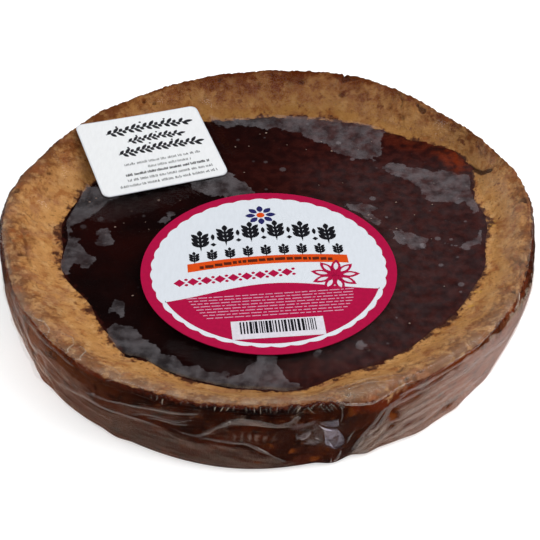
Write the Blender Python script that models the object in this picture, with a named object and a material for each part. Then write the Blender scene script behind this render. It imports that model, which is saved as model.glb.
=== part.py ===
"""A round Breton butter cake: raised rim, disc of dark jam, tight clear film and two stickers.

Metres, +Z up. The origin is the centre of the flat base, which rests on the table at z = 0.
The front is -Y. Run it with blender --background --python part.py, or from the text editor.
"""

import math

import bpy
import numpy as np
from mathutils import Matrix, Vector, noise

# Points in every ring, and the steps of each profile from foot to top
COLUMNS = 90
BASE_EDGE_TURNS = (-90, -45, 0)
WALL_SHARES = (0.35, 0.72)
SHOULDER_TURNS = (0, 30, 60, 90)
SLOPE_SHARES = (0.26, 0.52, 0.78, 1.0)
FILM_SHARES = (0.93, 0.84, 0.72, 0.60, 0.47, 0.33, 0.18)

# Driving dimensions of the cake, as turned sizes before the hand-made unevenness
BASE_RADIUS = 0.0874
WALL_RADIUS = 0.0895
WALL_TOP = 0.0242
BASE_EDGE = 0.0030
CREST_RADIUS = 0.0864
CREST_HEIGHT = 0.0282
LEAN = 0.0018

# The jam layer lies in the dish that the rim leaves
JAM_RADIUS = 0.0720
JAM_LEVEL = 0.0200
JAM_DEPTH = 0.0055
JAM_DRAFT = 0.0045
JAM_EDGE_DROP = 0.0006
JAM_EDGE_ROUND = 0.0024
JAM_SHOULDER_SHARE = 0.2
JAM_FLAT_SHARE = 0.85
FIT_GAP = 0.0003

# Clear film, drawn thicker than the real 0.03 mm so that it is a sound solid
FILM_GAP = 0.00035
FILM_THICKNESS = 0.0004
FILM_MARGIN_HEIGHT = 0.0012
FILM_BRIDGE = 0.0016
FILM_BRIDGE_WIDTH = 0.016
TENT_REACH = 0.010

# Stickers: centre, size, turn about Z in degrees, and tilt of the paper in degrees
STICKER_GAP = 0.0003
STICKER_THICKNESS = 0.0003
ROUND_RADIUS = 0.0419
ROUND_SIDES = 72
ROUND_CENTRE = (0.0, -0.0219, 0.02275)
ROUND_TILT = (2.3, 0.0)
RECT_SIZE = (0.0462, 0.0374)
RECT_CORNER = 0.0026
CORNER_STEPS = 4
RECT_CENTRE = (-0.0425, 0.0390, 0.0262)
RECT_TURN = 21.1
RECT_TILT = (8.8, -1.7)

# Unevenness round the cake: waves round the turn, height in metres, azimuth of one peak in degrees
OUTLINE_WAVES = ((2, 0.0005, 35), (3, 0.0007, -44), (4, 0.0008, -10), (7, 0.0007, 17),
                 (11, 0.0002, 8))
BASE_UNEVENNESS = 0.4
WALL_SWELL_SHARE = 0.7
SLOPE_STRAIGHTNESS = 0.35
CREST_WAVES = ((1, 0.0007, 95), (3, 0.0004, 60), (5, 0.0003, 20), (8, 0.0002, 11))
CREST_IN_WAVES = ((4, 0.0003, 30), (6, 0.0003, 75))
JAM_WAVES = ((1, 0.0030, -13), (2, 0.0019, 35), (3, 0.0013, 27), (5, 0.0012, -30),
             (13, 0.0005, 3), (21, 0.0004, 5))

# Single swellings by hand: azimuth in degrees, half width in degrees, height
JAM_LOBES = ((31, 15, 0.0055), (-168, 14, -0.0012), (-149, 12, -0.0024), (-134, 10, -0.0008), (-127, 7, 0.0022),
             (-112, 14, -0.0014), (-100, 9, -0.0010), (-86, 9, 0.0010), (-45, 11, -0.0018), (-27, 13, -0.0022),
             (56, 10, -0.0018))
RIM_SWELLS = ((-124, 30, 0.0022), (-90, 20, -0.0016), (16, 44, 0.0018), (62, 40, 0.0009), (100, 30, 0.0010),
              (134, 34, 0.0020))
CREST_SWELLS = ((42, 60, 0.0008),)
FOOT_SWELLS = ((-101, 34, 0.0020), (-156, 22, -0.0005), (-58, 28, 0.0014), (-132, 16, 0.0007))
RIM_DENTS = 0.0011
WALL_DENTS = 0.0006
DENT_SIZE = 0.013
NOISE_SEED = 7.3

# Gathered pleats of the film on the wall: azimuth in degrees, half width in degrees, height at the foot
PLEAT_TOP = 0.35
PLEATS = ((-76, 4.2, 0.0013), (-69, 3.4, 0.0009), (-57, 4.6, 0.0011), (-47, 3.6, 0.0009),
          (-36, 4.4, 0.0010), (-121, 4.0, 0.0007), (-144, 4.4, 0.0009), (-161, 4.0, 0.0007),
          (28, 4.6, 0.0009), (71, 4.2, 0.0008), (118, 4.6, 0.0009), (163, 4.2, 0.0008))

TURN = np.linspace(0.0, 2.0 * math.pi, COLUMNS, endpoint=False)


def clear_scene():
    """Remove whatever the scene holds at the start."""
    for old in list(bpy.data.objects):
        bpy.data.objects.remove(old, do_unlink=True)


def waves(angle, table):
    """Sum of cosine waves round the turn."""
    angle = np.asarray(angle, dtype=float)
    total = np.zeros_like(angle)
    for count, height, peak in table:
        total += height * np.cos(count * (angle - math.radians(peak)))
    return total


def ease(value):
    """Smooth step from 0 to 1, flat at both ends."""
    value = np.clip(value, 0.0, 1.0)
    return value * value * (3.0 - 2.0 * value)


def swells(angle, table):
    """Sum of single smooth humps, each round its own azimuth."""
    degrees = np.degrees(angle)
    total = np.zeros_like(degrees)
    for azimuth, half_width, height in table:
        away = (degrees - azimuth + 180.0) % 360.0 - 180.0
        total += height * (1.0 - ease(np.abs(away) / half_width))
    return total


def jam_edge(angle):
    """Ragged radius of the jam's edge."""
    return JAM_RADIUS + waves(angle, JAM_WAVES) + swells(angle, JAM_LOBES)


def dish_side(height, gap):
    """Radius of the dish's sloping side at a height, moved in or out by a gap."""
    return jam_edge(TURN) - JAM_DRAFT * (JAM_LEVEL - height) / JAM_DEPTH + gap


def crest_radius(angle):
    """Radius at which the rim is highest."""
    unevenness = waves(angle, CREST_IN_WAVES) + waves(angle, OUTLINE_WAVES)
    return CREST_RADIUS + unevenness + swells(angle, RIM_SWELLS)


def crest_height(angle):
    """Height of the rim's crest above the table."""
    return CREST_HEIGHT + waves(angle, CREST_WAVES) + swells(angle, CREST_SWELLS)


def wall_radius(angle):
    """Radius of the wall just below the rim's shoulder."""
    swell = WALL_SWELL_SHARE * swells(angle, RIM_SWELLS)
    return WALL_RADIUS + waves(angle, OUTLINE_WAVES) + swell


def wall_rings():
    """Base edge and wall, from the table up, as (radius, height) arrays."""
    rings = []
    foot = BASE_RADIUS + BASE_UNEVENNESS * waves(TURN, OUTLINE_WAVES) + swells(TURN, FOOT_SWELLS)
    for degrees in BASE_EDGE_TURNS:
        turn = math.radians(degrees)
        radius = foot - BASE_EDGE + BASE_EDGE * math.cos(turn)
        height = BASE_EDGE + BASE_EDGE * math.sin(turn)
        rings.append((radius, np.full(COLUMNS, height)))
    for share in WALL_SHARES:
        height = BASE_EDGE + share * (WALL_TOP - BASE_EDGE)
        radius = foot + (wall_radius(TURN) - foot) * math.sin(0.5 * math.pi * share)
        rings.append((radius, np.full(COLUMNS, height)))
    return rings


def rim_rings():
    """Shoulder, crest and inner slope of the rim, down to the jam's edge."""
    rings = []
    outer = wall_radius(TURN)
    crest = crest_radius(TURN)
    top = crest_height(TURN)
    for degrees in SHOULDER_TURNS:
        turn = math.radians(degrees)
        radius = crest + (outer - crest) * math.cos(turn)
        height = WALL_TOP + (top - WALL_TOP) * math.sin(turn)
        rings.append((radius, height))
    foot = jam_edge(TURN) + FIT_GAP
    for share in SLOPE_SHARES:
        radius = crest + (foot - crest) * share
        fall = SLOPE_STRAIGHTNESS * share + (1.0 - SLOPE_STRAIGHTNESS) * ease(share)
        height = top - (top - JAM_LEVEL) * fall
        rings.append((radius, height))
    return rings


def ring_points(radius, height):
    """Points of one ring, sheared by the cake's lean towards the foot."""
    shift = -LEAN * (1.0 - height / CREST_HEIGHT)
    return np.stack([radius * np.cos(TURN) + shift, radius * np.sin(TURN), height], axis=-1)


def dents(points, depth):
    """How far each point of a crumbly crust sits inside the smooth form."""
    depths = [
        0.5 + 0.5 * noise.noise(Vector(point) / DENT_SIZE + Vector((NOISE_SEED, 0.0, 0.0)))
        for point in points
    ]
    return depth * np.array(depths)


def sticker_plane(centre, tilt, x, y):
    """Height of a sticker's tilted plane at x, y."""
    slope_x, slope_y = plane_slopes(centre, tilt)
    return centre[2] + slope_x * (x - centre[0]) + slope_y * (y - centre[1])


def plane_slopes(centre, tilt):
    """Slopes along X and Y of a sticker, from its tilt outward from the cake's middle and across that."""
    turn = math.atan2(centre[1], centre[0])
    outward = math.tan(math.radians(tilt[0]))
    across = math.tan(math.radians(tilt[1]))
    slope_x = outward * math.cos(turn) - across * math.sin(turn)
    slope_y = outward * math.sin(turn) + across * math.cos(turn)
    return slope_x, slope_y


def round_reach(x, y):
    """Distance outside the round sticker's edge, nought within it."""
    away = np.hypot(x - ROUND_CENTRE[0], y - ROUND_CENTRE[1]) - ROUND_RADIUS
    return np.maximum(away, 0.0)


def rect_reach(x, y):
    """Distance outside the rectangular sticker's edges, nought within them."""
    turn = math.radians(RECT_TURN)
    across = (x - RECT_CENTRE[0]) * math.cos(turn) + (y - RECT_CENTRE[1]) * math.sin(turn)
    along = (y - RECT_CENTRE[1]) * math.cos(turn) - (x - RECT_CENTRE[0]) * math.sin(turn)
    over_x = np.maximum(np.abs(across) - 0.5 * RECT_SIZE[0], 0.0)
    over_y = np.maximum(np.abs(along) - 0.5 * RECT_SIZE[1], 0.0)
    return np.hypot(over_x, over_y)


def tented(x, y, height, below):
    """Raise the film to each stiff sticker that is stuck on it, falling away round it."""
    for centre, tilt, reach in (
        (ROUND_CENTRE, ROUND_TILT, round_reach),
        (RECT_CENTRE, RECT_TILT, rect_reach),
    ):
        level = sticker_plane(centre, tilt, x, y) - below
        hold = 1.0 - ease(reach(x, y) / TENT_REACH)
        height = height + hold * np.maximum(level - height, 0.0)
    return height


def film_over_jam(share, offset):
    """Ring of the film over the jam, at a share of the jam's ragged radius."""
    radius = jam_edge(TURN) * share
    away = jam_edge(TURN) - radius
    lift = FILM_BRIDGE * (1.0 - ease(away / FILM_BRIDGE_WIDTH))
    return ring_points(radius, JAM_LEVEL + offset + lift)


def lathe(name, rings, first_centre, last_centre):
    """Closed body from rings in order, with a fan of triangles at each end."""
    points = [first_centre]
    for ring in rings:
        points.extend(ring.tolist())
    points.append(last_centre)
    faces = []
    last = len(points) - 1
    for column in range(COLUMNS):
        beside = (column + 1) % COLUMNS
        faces.append((0, 1 + beside, 1 + column))
        for step in range(len(rings) - 1):
            low = 1 + step * COLUMNS
            high = low + COLUMNS
            faces.append((low + column, low + beside, high + beside))
            faces.append((low + column, high + beside, high + column))
        top = 1 + (len(rings) - 1) * COLUMNS
        faces.append((top + column, top + beside, last))
    return new_object(name, points, faces)


def new_object(name, points, faces):
    """Link a mesh object, shaded smooth with its sharp edges kept."""
    mesh = bpy.data.meshes.new(name)
    mesh.from_pydata([tuple(point) for point in points], [], faces)
    mesh.validate()
    mesh.shade_smooth()
    mesh.set_sharp_from_angle(angle=math.radians(50))
    item = bpy.data.objects.new(name, mesh)
    bpy.context.scene.collection.objects.link(item)
    return item


def finish(item, name, colour, roughness, metallic=0.0, transmission=0.0):
    """Give an object its own Principled material."""
    material = bpy.data.materials.new(name)
    material.use_nodes = True
    shader = material.node_tree.nodes["Principled BSDF"]
    shader.inputs["Base Color"].default_value = (*colour, 1.0)
    shader.inputs["Roughness"].default_value = roughness
    shader.inputs["Metallic"].default_value = metallic
    shader.inputs["Transmission Weight"].default_value = transmission
    item.data.materials.append(material)
    return item


def make_cake():
    """Solid butter cake: base, wall, lumpy rim and the dish under the jam."""
    rings = []
    for index, (radius, height) in enumerate(wall_rings()):
        points = ring_points(radius, height)
        inward = dents(points, WALL_DENTS if index > 1 else 0.0)
        rings.append(ring_points(radius - inward, height))
    for index, (radius, height) in enumerate(rim_rings()):
        points = ring_points(radius, height)
        inward = dents(points, RIM_DENTS)
        steep = math.cos(math.radians(min(index, 3) * 30))
        rings.append(ring_points(radius - inward * steep, height - inward * (1.0 - steep)))
    floor = JAM_LEVEL - JAM_DEPTH - FIT_GAP
    rings.append(ring_points(dish_side(floor, FIT_GAP), np.full(COLUMNS, floor)))
    base = (-LEAN, 0.0, 0.0)
    dish = (-LEAN * (1.0 - floor / CREST_HEIGHT), 0.0, floor)
    return finish(lathe("cake", rings, base, dish), "butter_crust", (0.42, 0.22, 0.09), 0.62)


def make_jam():
    """Layer of dark jam, thinner at its ragged edge."""
    bottom = JAM_LEVEL - JAM_DEPTH
    rim = JAM_LEVEL - JAM_EDGE_DROP
    shoulder = JAM_LEVEL - JAM_SHOULDER_SHARE * JAM_EDGE_DROP
    flat = np.ones(COLUMNS)
    rings = [
        ring_points(dish_side(bottom, -FIT_GAP), flat * bottom),
        ring_points(dish_side(rim, -FIT_GAP), flat * rim),
        ring_points(dish_side(rim, -FIT_GAP) - JAM_EDGE_ROUND, flat * shoulder),
        ring_points(JAM_FLAT_SHARE * jam_edge(TURN), flat * JAM_LEVEL),
    ]
    low = (-LEAN * (1.0 - bottom / CREST_HEIGHT), 0.0, bottom)
    high = (-LEAN * (1.0 - JAM_LEVEL / CREST_HEIGHT), 0.0, JAM_LEVEL)
    return finish(lathe("jam", rings, low, high), "raspberry_jam", (0.045, 0.008, 0.007), 0.16)


def film_around(offset):
    """Rings of the film on the wall and the rim, moved out from the cake's smooth form by an offset."""
    pleat = swells(TURN, PLEATS)
    profile = wall_rings()[1:] + rim_rings()
    rings = []
    for index, (radius, height) in enumerate(profile):
        before = profile[max(index - 1, 0)]
        after = profile[min(index + 1, len(profile) - 1)]
        along = np.stack([after[0] - before[0], after[1] - before[1]])
        along = along / np.linalg.norm(along, axis=0)
        level = height.mean()
        fullness = PLEAT_TOP + (1.0 - PLEAT_TOP) * (1.0 - level / CREST_HEIGHT)
        on_wall = level < WALL_TOP + FIT_GAP
        out = radius + along[1] * (offset + pleat * fullness * on_wall)
        up = np.maximum(height - along[0] * offset, FILM_MARGIN_HEIGHT - offset)
        rings.append(ring_points(out, up))
    return rings


def film_face(offset):
    """Rings of one face of the film, from its margin at the foot to the middle of the jam."""
    below = STICKER_GAP + FILM_GAP + FILM_THICKNESS - offset
    around = film_around(offset)
    crest = len(BASE_EDGE_TURNS) - 1 + len(WALL_SHARES) + len(SHOULDER_TURNS)
    for points in around[crest:]:
        points[:, 2] = np.maximum(points[:, 2], JAM_LEVEL + offset + FILM_BRIDGE)
    inside = [film_over_jam(share, offset) for share in FILM_SHARES]
    for points in around[crest:] + inside:
        points[:, 2] = tented(points[:, 0], points[:, 1], points[:, 2], below)
    middle = (0.0, 0.0, float(tented(0.0, 0.0, JAM_LEVEL + offset, below)))
    return around + inside, middle


def make_film():
    """Clear film over the top and the wall, open under the base where it is tucked away."""
    inner, inner_middle = film_face(FILM_GAP)
    outer, outer_middle = film_face(FILM_GAP + FILM_THICKNESS)
    film = lathe("wrap", inner[::-1] + outer, inner_middle, outer_middle)
    return finish(film, "clear_film", (0.90, 0.90, 0.92), 0.08, transmission=0.9)


def outline_body(name, outline, centre, tilt):
    """Thin paper plate on a tilted plane, from its outline seen from above."""
    count = len(outline)
    points = []
    for lift in (0.0, STICKER_THICKNESS):
        for x, y in outline:
            points.append((x, y, sticker_plane(centre, tilt, x, y) + lift))
    faces = [tuple(reversed(range(count))), tuple(range(count, 2 * count))]
    for index in range(count):
        beside = (index + 1) % count
        faces.append((index, beside, count + beside, count + index))
    return new_object(name, points, faces)


def make_round_sticker():
    """Round paper sticker on the film over the jam."""
    outline = [
        (
            ROUND_CENTRE[0] + ROUND_RADIUS * math.cos(turn),
            ROUND_CENTRE[1] + ROUND_RADIUS * math.sin(turn),
        )
        for turn in np.linspace(0.0, 2.0 * math.pi, ROUND_SIDES, endpoint=False)
    ]
    item = outline_body("label_round", outline, ROUND_CENTRE, ROUND_TILT)
    return finish(item, "round_paper", (0.75, 0.72, 0.76), 0.35)


def make_rect_sticker():
    """White rectangular sticker with rounded corners, from the rim's crest down to the film."""
    outline = []
    matrix = Matrix.Rotation(math.radians(RECT_TURN), 2)
    for quarter, (side_x, side_y) in enumerate(((1, 1), (-1, 1), (-1, -1), (1, -1))):
        middle_x = side_x * (0.5 * RECT_SIZE[0] - RECT_CORNER)
        middle_y = side_y * (0.5 * RECT_SIZE[1] - RECT_CORNER)
        for step in range(CORNER_STEPS + 1):
            turn = math.radians(90 * (quarter + step / CORNER_STEPS))
            corner = Vector((math.cos(turn), math.sin(turn))) * RECT_CORNER
            corner += Vector((middle_x, middle_y))
            turned = matrix @ corner
            outline.append((RECT_CENTRE[0] + turned.x, RECT_CENTRE[1] + turned.y))
    item = outline_body("label_rect", outline, RECT_CENTRE, RECT_TILT)
    return finish(item, "white_paper", (0.84, 0.85, 0.86), 0.4)


def main():
    clear_scene()
    make_cake()
    make_jam()
    make_film()
    make_round_sticker()
    make_rect_sticker()


main()
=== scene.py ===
"""Looks of a round Breton butter cake: crumbly crust, dark jam, clear film and two paper stickers.

Metres, +Z up, front -Y, origin at the centre of the flat base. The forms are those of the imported
solids, worked out from the same named values and drawn here with fine relief, folds and print.
"""

import itertools
import math

import bpy
import numpy as np
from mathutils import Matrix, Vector, noise


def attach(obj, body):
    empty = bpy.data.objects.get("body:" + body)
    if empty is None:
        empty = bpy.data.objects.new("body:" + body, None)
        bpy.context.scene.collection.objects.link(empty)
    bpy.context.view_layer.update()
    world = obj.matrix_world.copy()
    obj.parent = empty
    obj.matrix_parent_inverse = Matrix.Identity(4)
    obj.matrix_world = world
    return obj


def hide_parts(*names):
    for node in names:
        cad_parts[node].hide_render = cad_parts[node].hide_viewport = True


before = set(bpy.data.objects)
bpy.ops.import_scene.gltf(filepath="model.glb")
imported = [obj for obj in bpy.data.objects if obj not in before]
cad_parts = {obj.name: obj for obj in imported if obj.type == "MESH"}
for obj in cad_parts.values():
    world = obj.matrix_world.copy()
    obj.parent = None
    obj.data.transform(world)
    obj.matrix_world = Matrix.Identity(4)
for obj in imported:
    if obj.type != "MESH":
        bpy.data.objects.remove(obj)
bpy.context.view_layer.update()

# Driving dimensions of the cake, as turned sizes before the hand-made unevenness
BASE_RADIUS = 0.0874
WALL_RADIUS = 0.0895
WALL_TOP = 0.0242
BASE_EDGE = 0.0030
CREST_RADIUS = 0.0864
CREST_HEIGHT = 0.0282
LEAN = 0.0018
JAM_RADIUS = 0.0720
JAM_LEVEL = 0.0200
JAM_DEPTH = 0.0055
JAM_DRAFT = 0.0045
FIT_GAP = 0.0003
FILM_THICKNESS = 0.0004
FILM_BRIDGE = 0.0016
FILM_BRIDGE_WIDTH = 0.016
TENT_REACH = 0.010
STICKER_GAP = 0.0003

# Stickers: centre, size, turn about Z in degrees, and tilt of the paper in degrees
ROUND_RADIUS = 0.0419
ROUND_CENTRE = (0.0, -0.0219, 0.02275)
ROUND_TILT = (2.3, 0.0)
ROUND_TURN = 5.7
RECT_SIZE = (0.0462, 0.0374)
RECT_CORNER = 0.0026
RECT_CENTRE = (-0.0425, 0.0390, 0.0262)
RECT_TURN = 21.1
RECT_TILT = (8.8, -1.7)
PAPER_THICKNESS = 0.00025

# Unevenness round the cake: waves round the turn, height in metres, azimuth of one peak in degrees
OUTLINE_WAVES = ((2, 0.0005, 35), (3, 0.0007, -44), (4, 0.0008, -10), (7, 0.0007, 17),
                 (11, 0.0002, 8))
BASE_UNEVENNESS = 0.4
WALL_SWELL_SHARE = 0.7
SLOPE_STRAIGHTNESS = 0.35
CREST_WAVES = ((1, 0.0007, 95), (3, 0.0004, 60), (5, 0.0003, 20), (8, 0.0002, 11))
CREST_IN_WAVES = ((4, 0.0003, 30), (6, 0.0003, 75))
JAM_WAVES = ((1, 0.0030, -13), (2, 0.0019, 35), (3, 0.0013, 27), (5, 0.0012, -30),
             (13, 0.0005, 3), (21, 0.0004, 5))
JAM_LOBES = (
    (31, 15, 0.0055), (-168, 14, -0.0012), (-149, 12, -0.0024), (-134, 10, -0.0008), (-127, 7, 0.0022),
    (-112, 14, -0.0014), (-100, 9, -0.001), (-86, 9, 0.001), (-45, 11, -0.0018), (-27, 13, -0.0022),
    (56, 10, -0.0018),
)
RIM_SWELLS = (
    (-124, 30, 0.0022), (-90, 20, -0.0016), (16, 44, 0.0018), (62, 40, 0.0009), (100, 30, 0.001),
    (134, 34, 0.002),
)
CREST_SWELLS = ((42, 60, 0.0008),)
FOOT_SWELLS = (
    (-101, 34, 0.002), (-156, 22, -0.0005), (-58, 28, 0.0014), (-132, 16, 0.0007),
)
RIM_DENTS = 0.0011
WALL_DENTS = 0.0006
DENT_SIZE = 0.013
NOISE_SEED = 7.3

# Gathered pleats of the film on the wall: azimuth in degrees, half width in degrees, height at the foot
PLEAT_TOP = 0.35
PLEATS = (
    (-76, 4.2, 0.0013), (-69, 3.4, 0.0009), (-57, 4.6, 0.0005), (-47, 3.6, 0.0004), (-36, 4.4, 0.0005),
    (-121, 4, 0.0007), (-144, 4.4, 0.0009), (-161, 4, 0.0007), (28, 4.6, 0.0009), (71, 4.2, 0.0008),
    (118, 4.6, 0.0009), (163, 4.2, 0.0008),
)

# Fineness of the meshes: points round the turn, then rows on each stretch of the profile
CRUST_COLUMNS = 1170
CRUST_ROWS = {"edge": 4, "wall": 28, "shoulder": 16, "slope": 32}
JAM_COLUMNS = 840
JAM_ROWS, JAM_EDGE_ROWS = 64, 11
FILM_COLUMNS = 960
FILM_ROWS = {"edge": 4, "wall": 38, "shoulder": 12, "slope": 12}
FILM_JAM_ROWS = 36

# Camera: it looks along +Y and down, from where the photographer stood
CAMERA_PLACE = (0.000408, -0.34302, 0.30320)
CAMERA_PITCH = 41.19
CAMERA_LENS = 86.67


# Sharp outer lip of the rim: azimuth in degrees and place, from the wall's top at 1 to the crest at 2
LIP = (
    (-180, 1.58), (-165, 1.55), (-150, 1.5), (-143, 1.68), (-132, 1.7), (-126, 1.68), (-120, 1.68),
    (-110, 1.76), (-104, 1.71), (-99, 1.76), (-87, 1.76), (-81, 1.8), (-77, 1.6), (-73, 1.12), (-68, 1),
    (-62, 1), (-58, 1.18), (-52, 1.3), (-44, 1.43), (-36, 1.7), (-20, 1.8), (0, 1.62), (180, 1.58),
)

# Millimetres round the wall for each degree
ARC = 1000.0 * WALL_RADIUS * math.pi / 180.0


def waves(angle, table):
    """Sum of cosine waves round the turn."""
    total = np.zeros_like(angle)
    for count, height, peak in table:
        total += height * np.cos(count * (angle - math.radians(peak)))
    return total


def ease(value):
    """Smooth step from 0 to 1, flat at both ends."""
    value = np.clip(value, 0.0, 1.0)
    return value * value * (3.0 - 2.0 * value)


def away_from(angle, azimuth):
    """Degrees between an angle in radians and an azimuth in degrees, from -180 to 180."""
    return (np.degrees(angle) - azimuth + 180.0) % 360.0 - 180.0


def swells(angle, table):
    """Sum of single smooth humps, each round its own azimuth."""
    total = np.zeros_like(angle)
    for azimuth, half_width, height in table:
        total += height * (1.0 - ease(np.abs(away_from(angle, azimuth)) / half_width))
    return total


def jam_edge(angle):
    """Ragged radius of the jam's edge."""
    return JAM_RADIUS + waves(angle, JAM_WAVES) + swells(angle, JAM_LOBES)


def dish_side(angle, height, gap):
    """Radius of the dish's sloping side at a height, moved in or out by a gap."""
    return jam_edge(angle) - JAM_DRAFT * (JAM_LEVEL - height) / JAM_DEPTH + gap


def wall_radius(angle):
    """Radius of the wall just below the rim's shoulder."""
    return WALL_RADIUS + waves(angle, OUTLINE_WAVES) + WALL_SWELL_SHARE * swells(angle, RIM_SWELLS)


def crest_radius(angle):
    """Radius at which the rim is highest."""
    unevenness = waves(angle, CREST_IN_WAVES) + waves(angle, OUTLINE_WAVES)
    return CREST_RADIUS + unevenness + swells(angle, RIM_SWELLS)


def crest_height(angle):
    """Height of the rim's crest above the table."""
    return CREST_HEIGHT + waves(angle, CREST_WAVES) + swells(angle, CREST_SWELLS)


def turn_of(columns):
    """Angles of the columns round the turn."""
    return np.linspace(0.0, 2.0 * math.pi, columns, endpoint=False)


def profile_at(turn, place):
    """Radius and height of the smooth cake at a place along its profile.

    The place is -1 under the rounded foot, 0 above it, 1 at the top of the wall, 2 at the crest and
    3 at the jam.
    """
    foot = BASE_RADIUS + BASE_UNEVENNESS * waves(turn, OUTLINE_WAVES) + swells(turn, FOOT_SWELLS)
    outer = wall_radius(turn)
    crest = crest_radius(turn)
    top = crest_height(turn)
    inner = jam_edge(turn) + FIT_GAP
    edge = 0.5 * math.pi * np.clip(place, -1.0, 0.0)
    wall = np.clip(place, 0.0, 1.0)
    shoulder = 0.5 * math.pi * np.clip(place - 1.0, 0.0, 1.0)
    slope = np.clip(place - 2.0, 0.0, 1.0)
    fall = SLOPE_STRAIGHTNESS * slope + (1.0 - SLOPE_STRAIGHTNESS) * ease(slope)
    stretches = [place <= 0.0, place <= 1.0, place <= 2.0]
    radius = np.select(stretches, [
        foot - BASE_EDGE + BASE_EDGE * np.cos(edge),
        foot + (outer - foot) * np.sin(0.5 * math.pi * wall),
        crest + (outer - crest) * np.cos(shoulder),
    ], crest + (inner - crest) * slope)
    height = np.select(stretches, [
        BASE_EDGE + BASE_EDGE * np.sin(edge),
        BASE_EDGE + wall * (WALL_TOP - BASE_EDGE),
        WALL_TOP + (top - WALL_TOP) * np.sin(shoulder),
    ], top - (top - JAM_LEVEL) * fall)
    return radius, height


def lip_place(turn):
    """Place on the profile of the rim's outer lip."""
    azimuths, places = np.array(LIP).T
    return np.interp(away_from(turn, 0.0), azimuths, places)


def row_places(rows):
    """Places along the profile of a mesh's rows."""
    places = [-1.0]
    for start, stretch in enumerate(("edge", "wall", "shoulder", "slope"), -1):
        places += list(start + np.linspace(0.0, 1.0, rows[stretch] + 1)[1:])
    return np.array(places)


def outward_at(turn, place):
    """Outward direction across the profile, radial and upward, and metres along it for each place."""
    step = 0.01
    low_radius, low_height = profile_at(turn, place - step)
    high_radius, high_height = profile_at(turn, place + step)
    run = high_radius - low_radius
    rise = high_height - low_height
    size = np.hypot(run, rise)
    return rise / size, -run / size, size / (2.0 * step)


def ring_points(turn, radii, heights):
    """Points of rings, sheared by the cake's lean towards the foot."""
    shift = -LEAN * (1.0 - heights / CREST_HEIGHT)
    return np.stack([radii * np.cos(turn) + shift, radii * np.sin(turn), heights + 0.0 * radii], axis=-1)


def noise_at(points, size, seed):
    """Smooth noise from -1 to 1 at each point, with features of a size in metres."""
    shift = Vector((seed, 0.0, 0.0))
    values = [noise.noise(Vector(point) + shift) for point in (points.reshape(-1, 3) / size).tolist()]
    return np.array(values).reshape(points.shape[:-1])


def half_noise(points, size, seed):
    """Smooth noise from 0 to 1 about a half."""
    return 0.5 + 0.5 * noise_at(points, size, seed)


def ridge(turn, heights, route, width):
    """Cross-section of a fold along a route on the wall, 1 on its line and 0 beyond its width."""
    nearest = np.full(heights.shape, np.inf)
    for start, end in zip(route, route[1:]):
        x = away_from(turn, start[0]) * ARC
        y = 1000.0 * heights - start[1]
        run = (end[0] - start[0]) * ARC
        rise = end[1] - start[1]
        share = np.clip((x * run + y * rise) / (run * run + rise * rise), 0.0, 1.0)
        nearest = np.minimum(nearest, np.hypot(x - share * run, y - share * rise))
    return ease(1.0 - nearest / (1000.0 * width))


def below_rim(place):
    """1 on the wall, falling to 0 over the start of the rim."""
    return 1.0 - ease((place - 0.9) / 0.25)


def pleats_at(turn, place, height):
    """How far the gathered pleats stand out, less towards the rim."""
    fullness = PLEAT_TOP + (1.0 - PLEAT_TOP) * (1.0 - height / CREST_HEIGHT)
    return swells(turn, PLEATS) * fullness * below_rim(place)


def plane_slopes(centre, tilt):
    """Slopes along X and Y of a sticker, from its tilt outward from the cake's middle and across that."""
    turn = math.atan2(centre[1], centre[0])
    outward = math.tan(math.radians(tilt[0]))
    across = math.tan(math.radians(tilt[1]))
    slope_x = outward * math.cos(turn) - across * math.sin(turn)
    slope_y = outward * math.sin(turn) + across * math.cos(turn)
    return slope_x, slope_y


def sticker_plane(centre, tilt, x, y):
    """Height of a sticker's tilted plane at x, y."""
    slope_x, slope_y = plane_slopes(centre, tilt)
    return centre[2] + slope_x * (x - centre[0]) + slope_y * (y - centre[1])


def round_reach(x, y):
    """Distance outside the round sticker's edge, nought within it."""
    return np.maximum(np.hypot(x - ROUND_CENTRE[0], y - ROUND_CENTRE[1]) - ROUND_RADIUS, 0.0)


def rect_reach(x, y):
    """Distance outside the rectangular sticker's edges, nought within them."""
    turn = math.radians(RECT_TURN)
    across = (x - RECT_CENTRE[0]) * math.cos(turn) + (y - RECT_CENTRE[1]) * math.sin(turn)
    along = (y - RECT_CENTRE[1]) * math.cos(turn) - (x - RECT_CENTRE[0]) * math.sin(turn)
    over_x = np.maximum(np.abs(across) - 0.5 * RECT_SIZE[0], 0.0)
    over_y = np.maximum(np.abs(along) - 0.5 * RECT_SIZE[1], 0.0)
    return np.hypot(over_x, over_y)


def tented(x, y, height, below):
    """Raise the film to each stiff sticker that is stuck on it, falling away round it."""
    for centre, tilt, reach in (
        (ROUND_CENTRE, ROUND_TILT, round_reach),
        (RECT_CENTRE, RECT_TILT, rect_reach),
    ):
        level = sticker_plane(centre, tilt, x, y) - below
        hold = 1.0 - ease(reach(x, y) / TENT_REACH)
        height = height + hold * np.maximum(level - height, 0.0)
    return height


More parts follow.
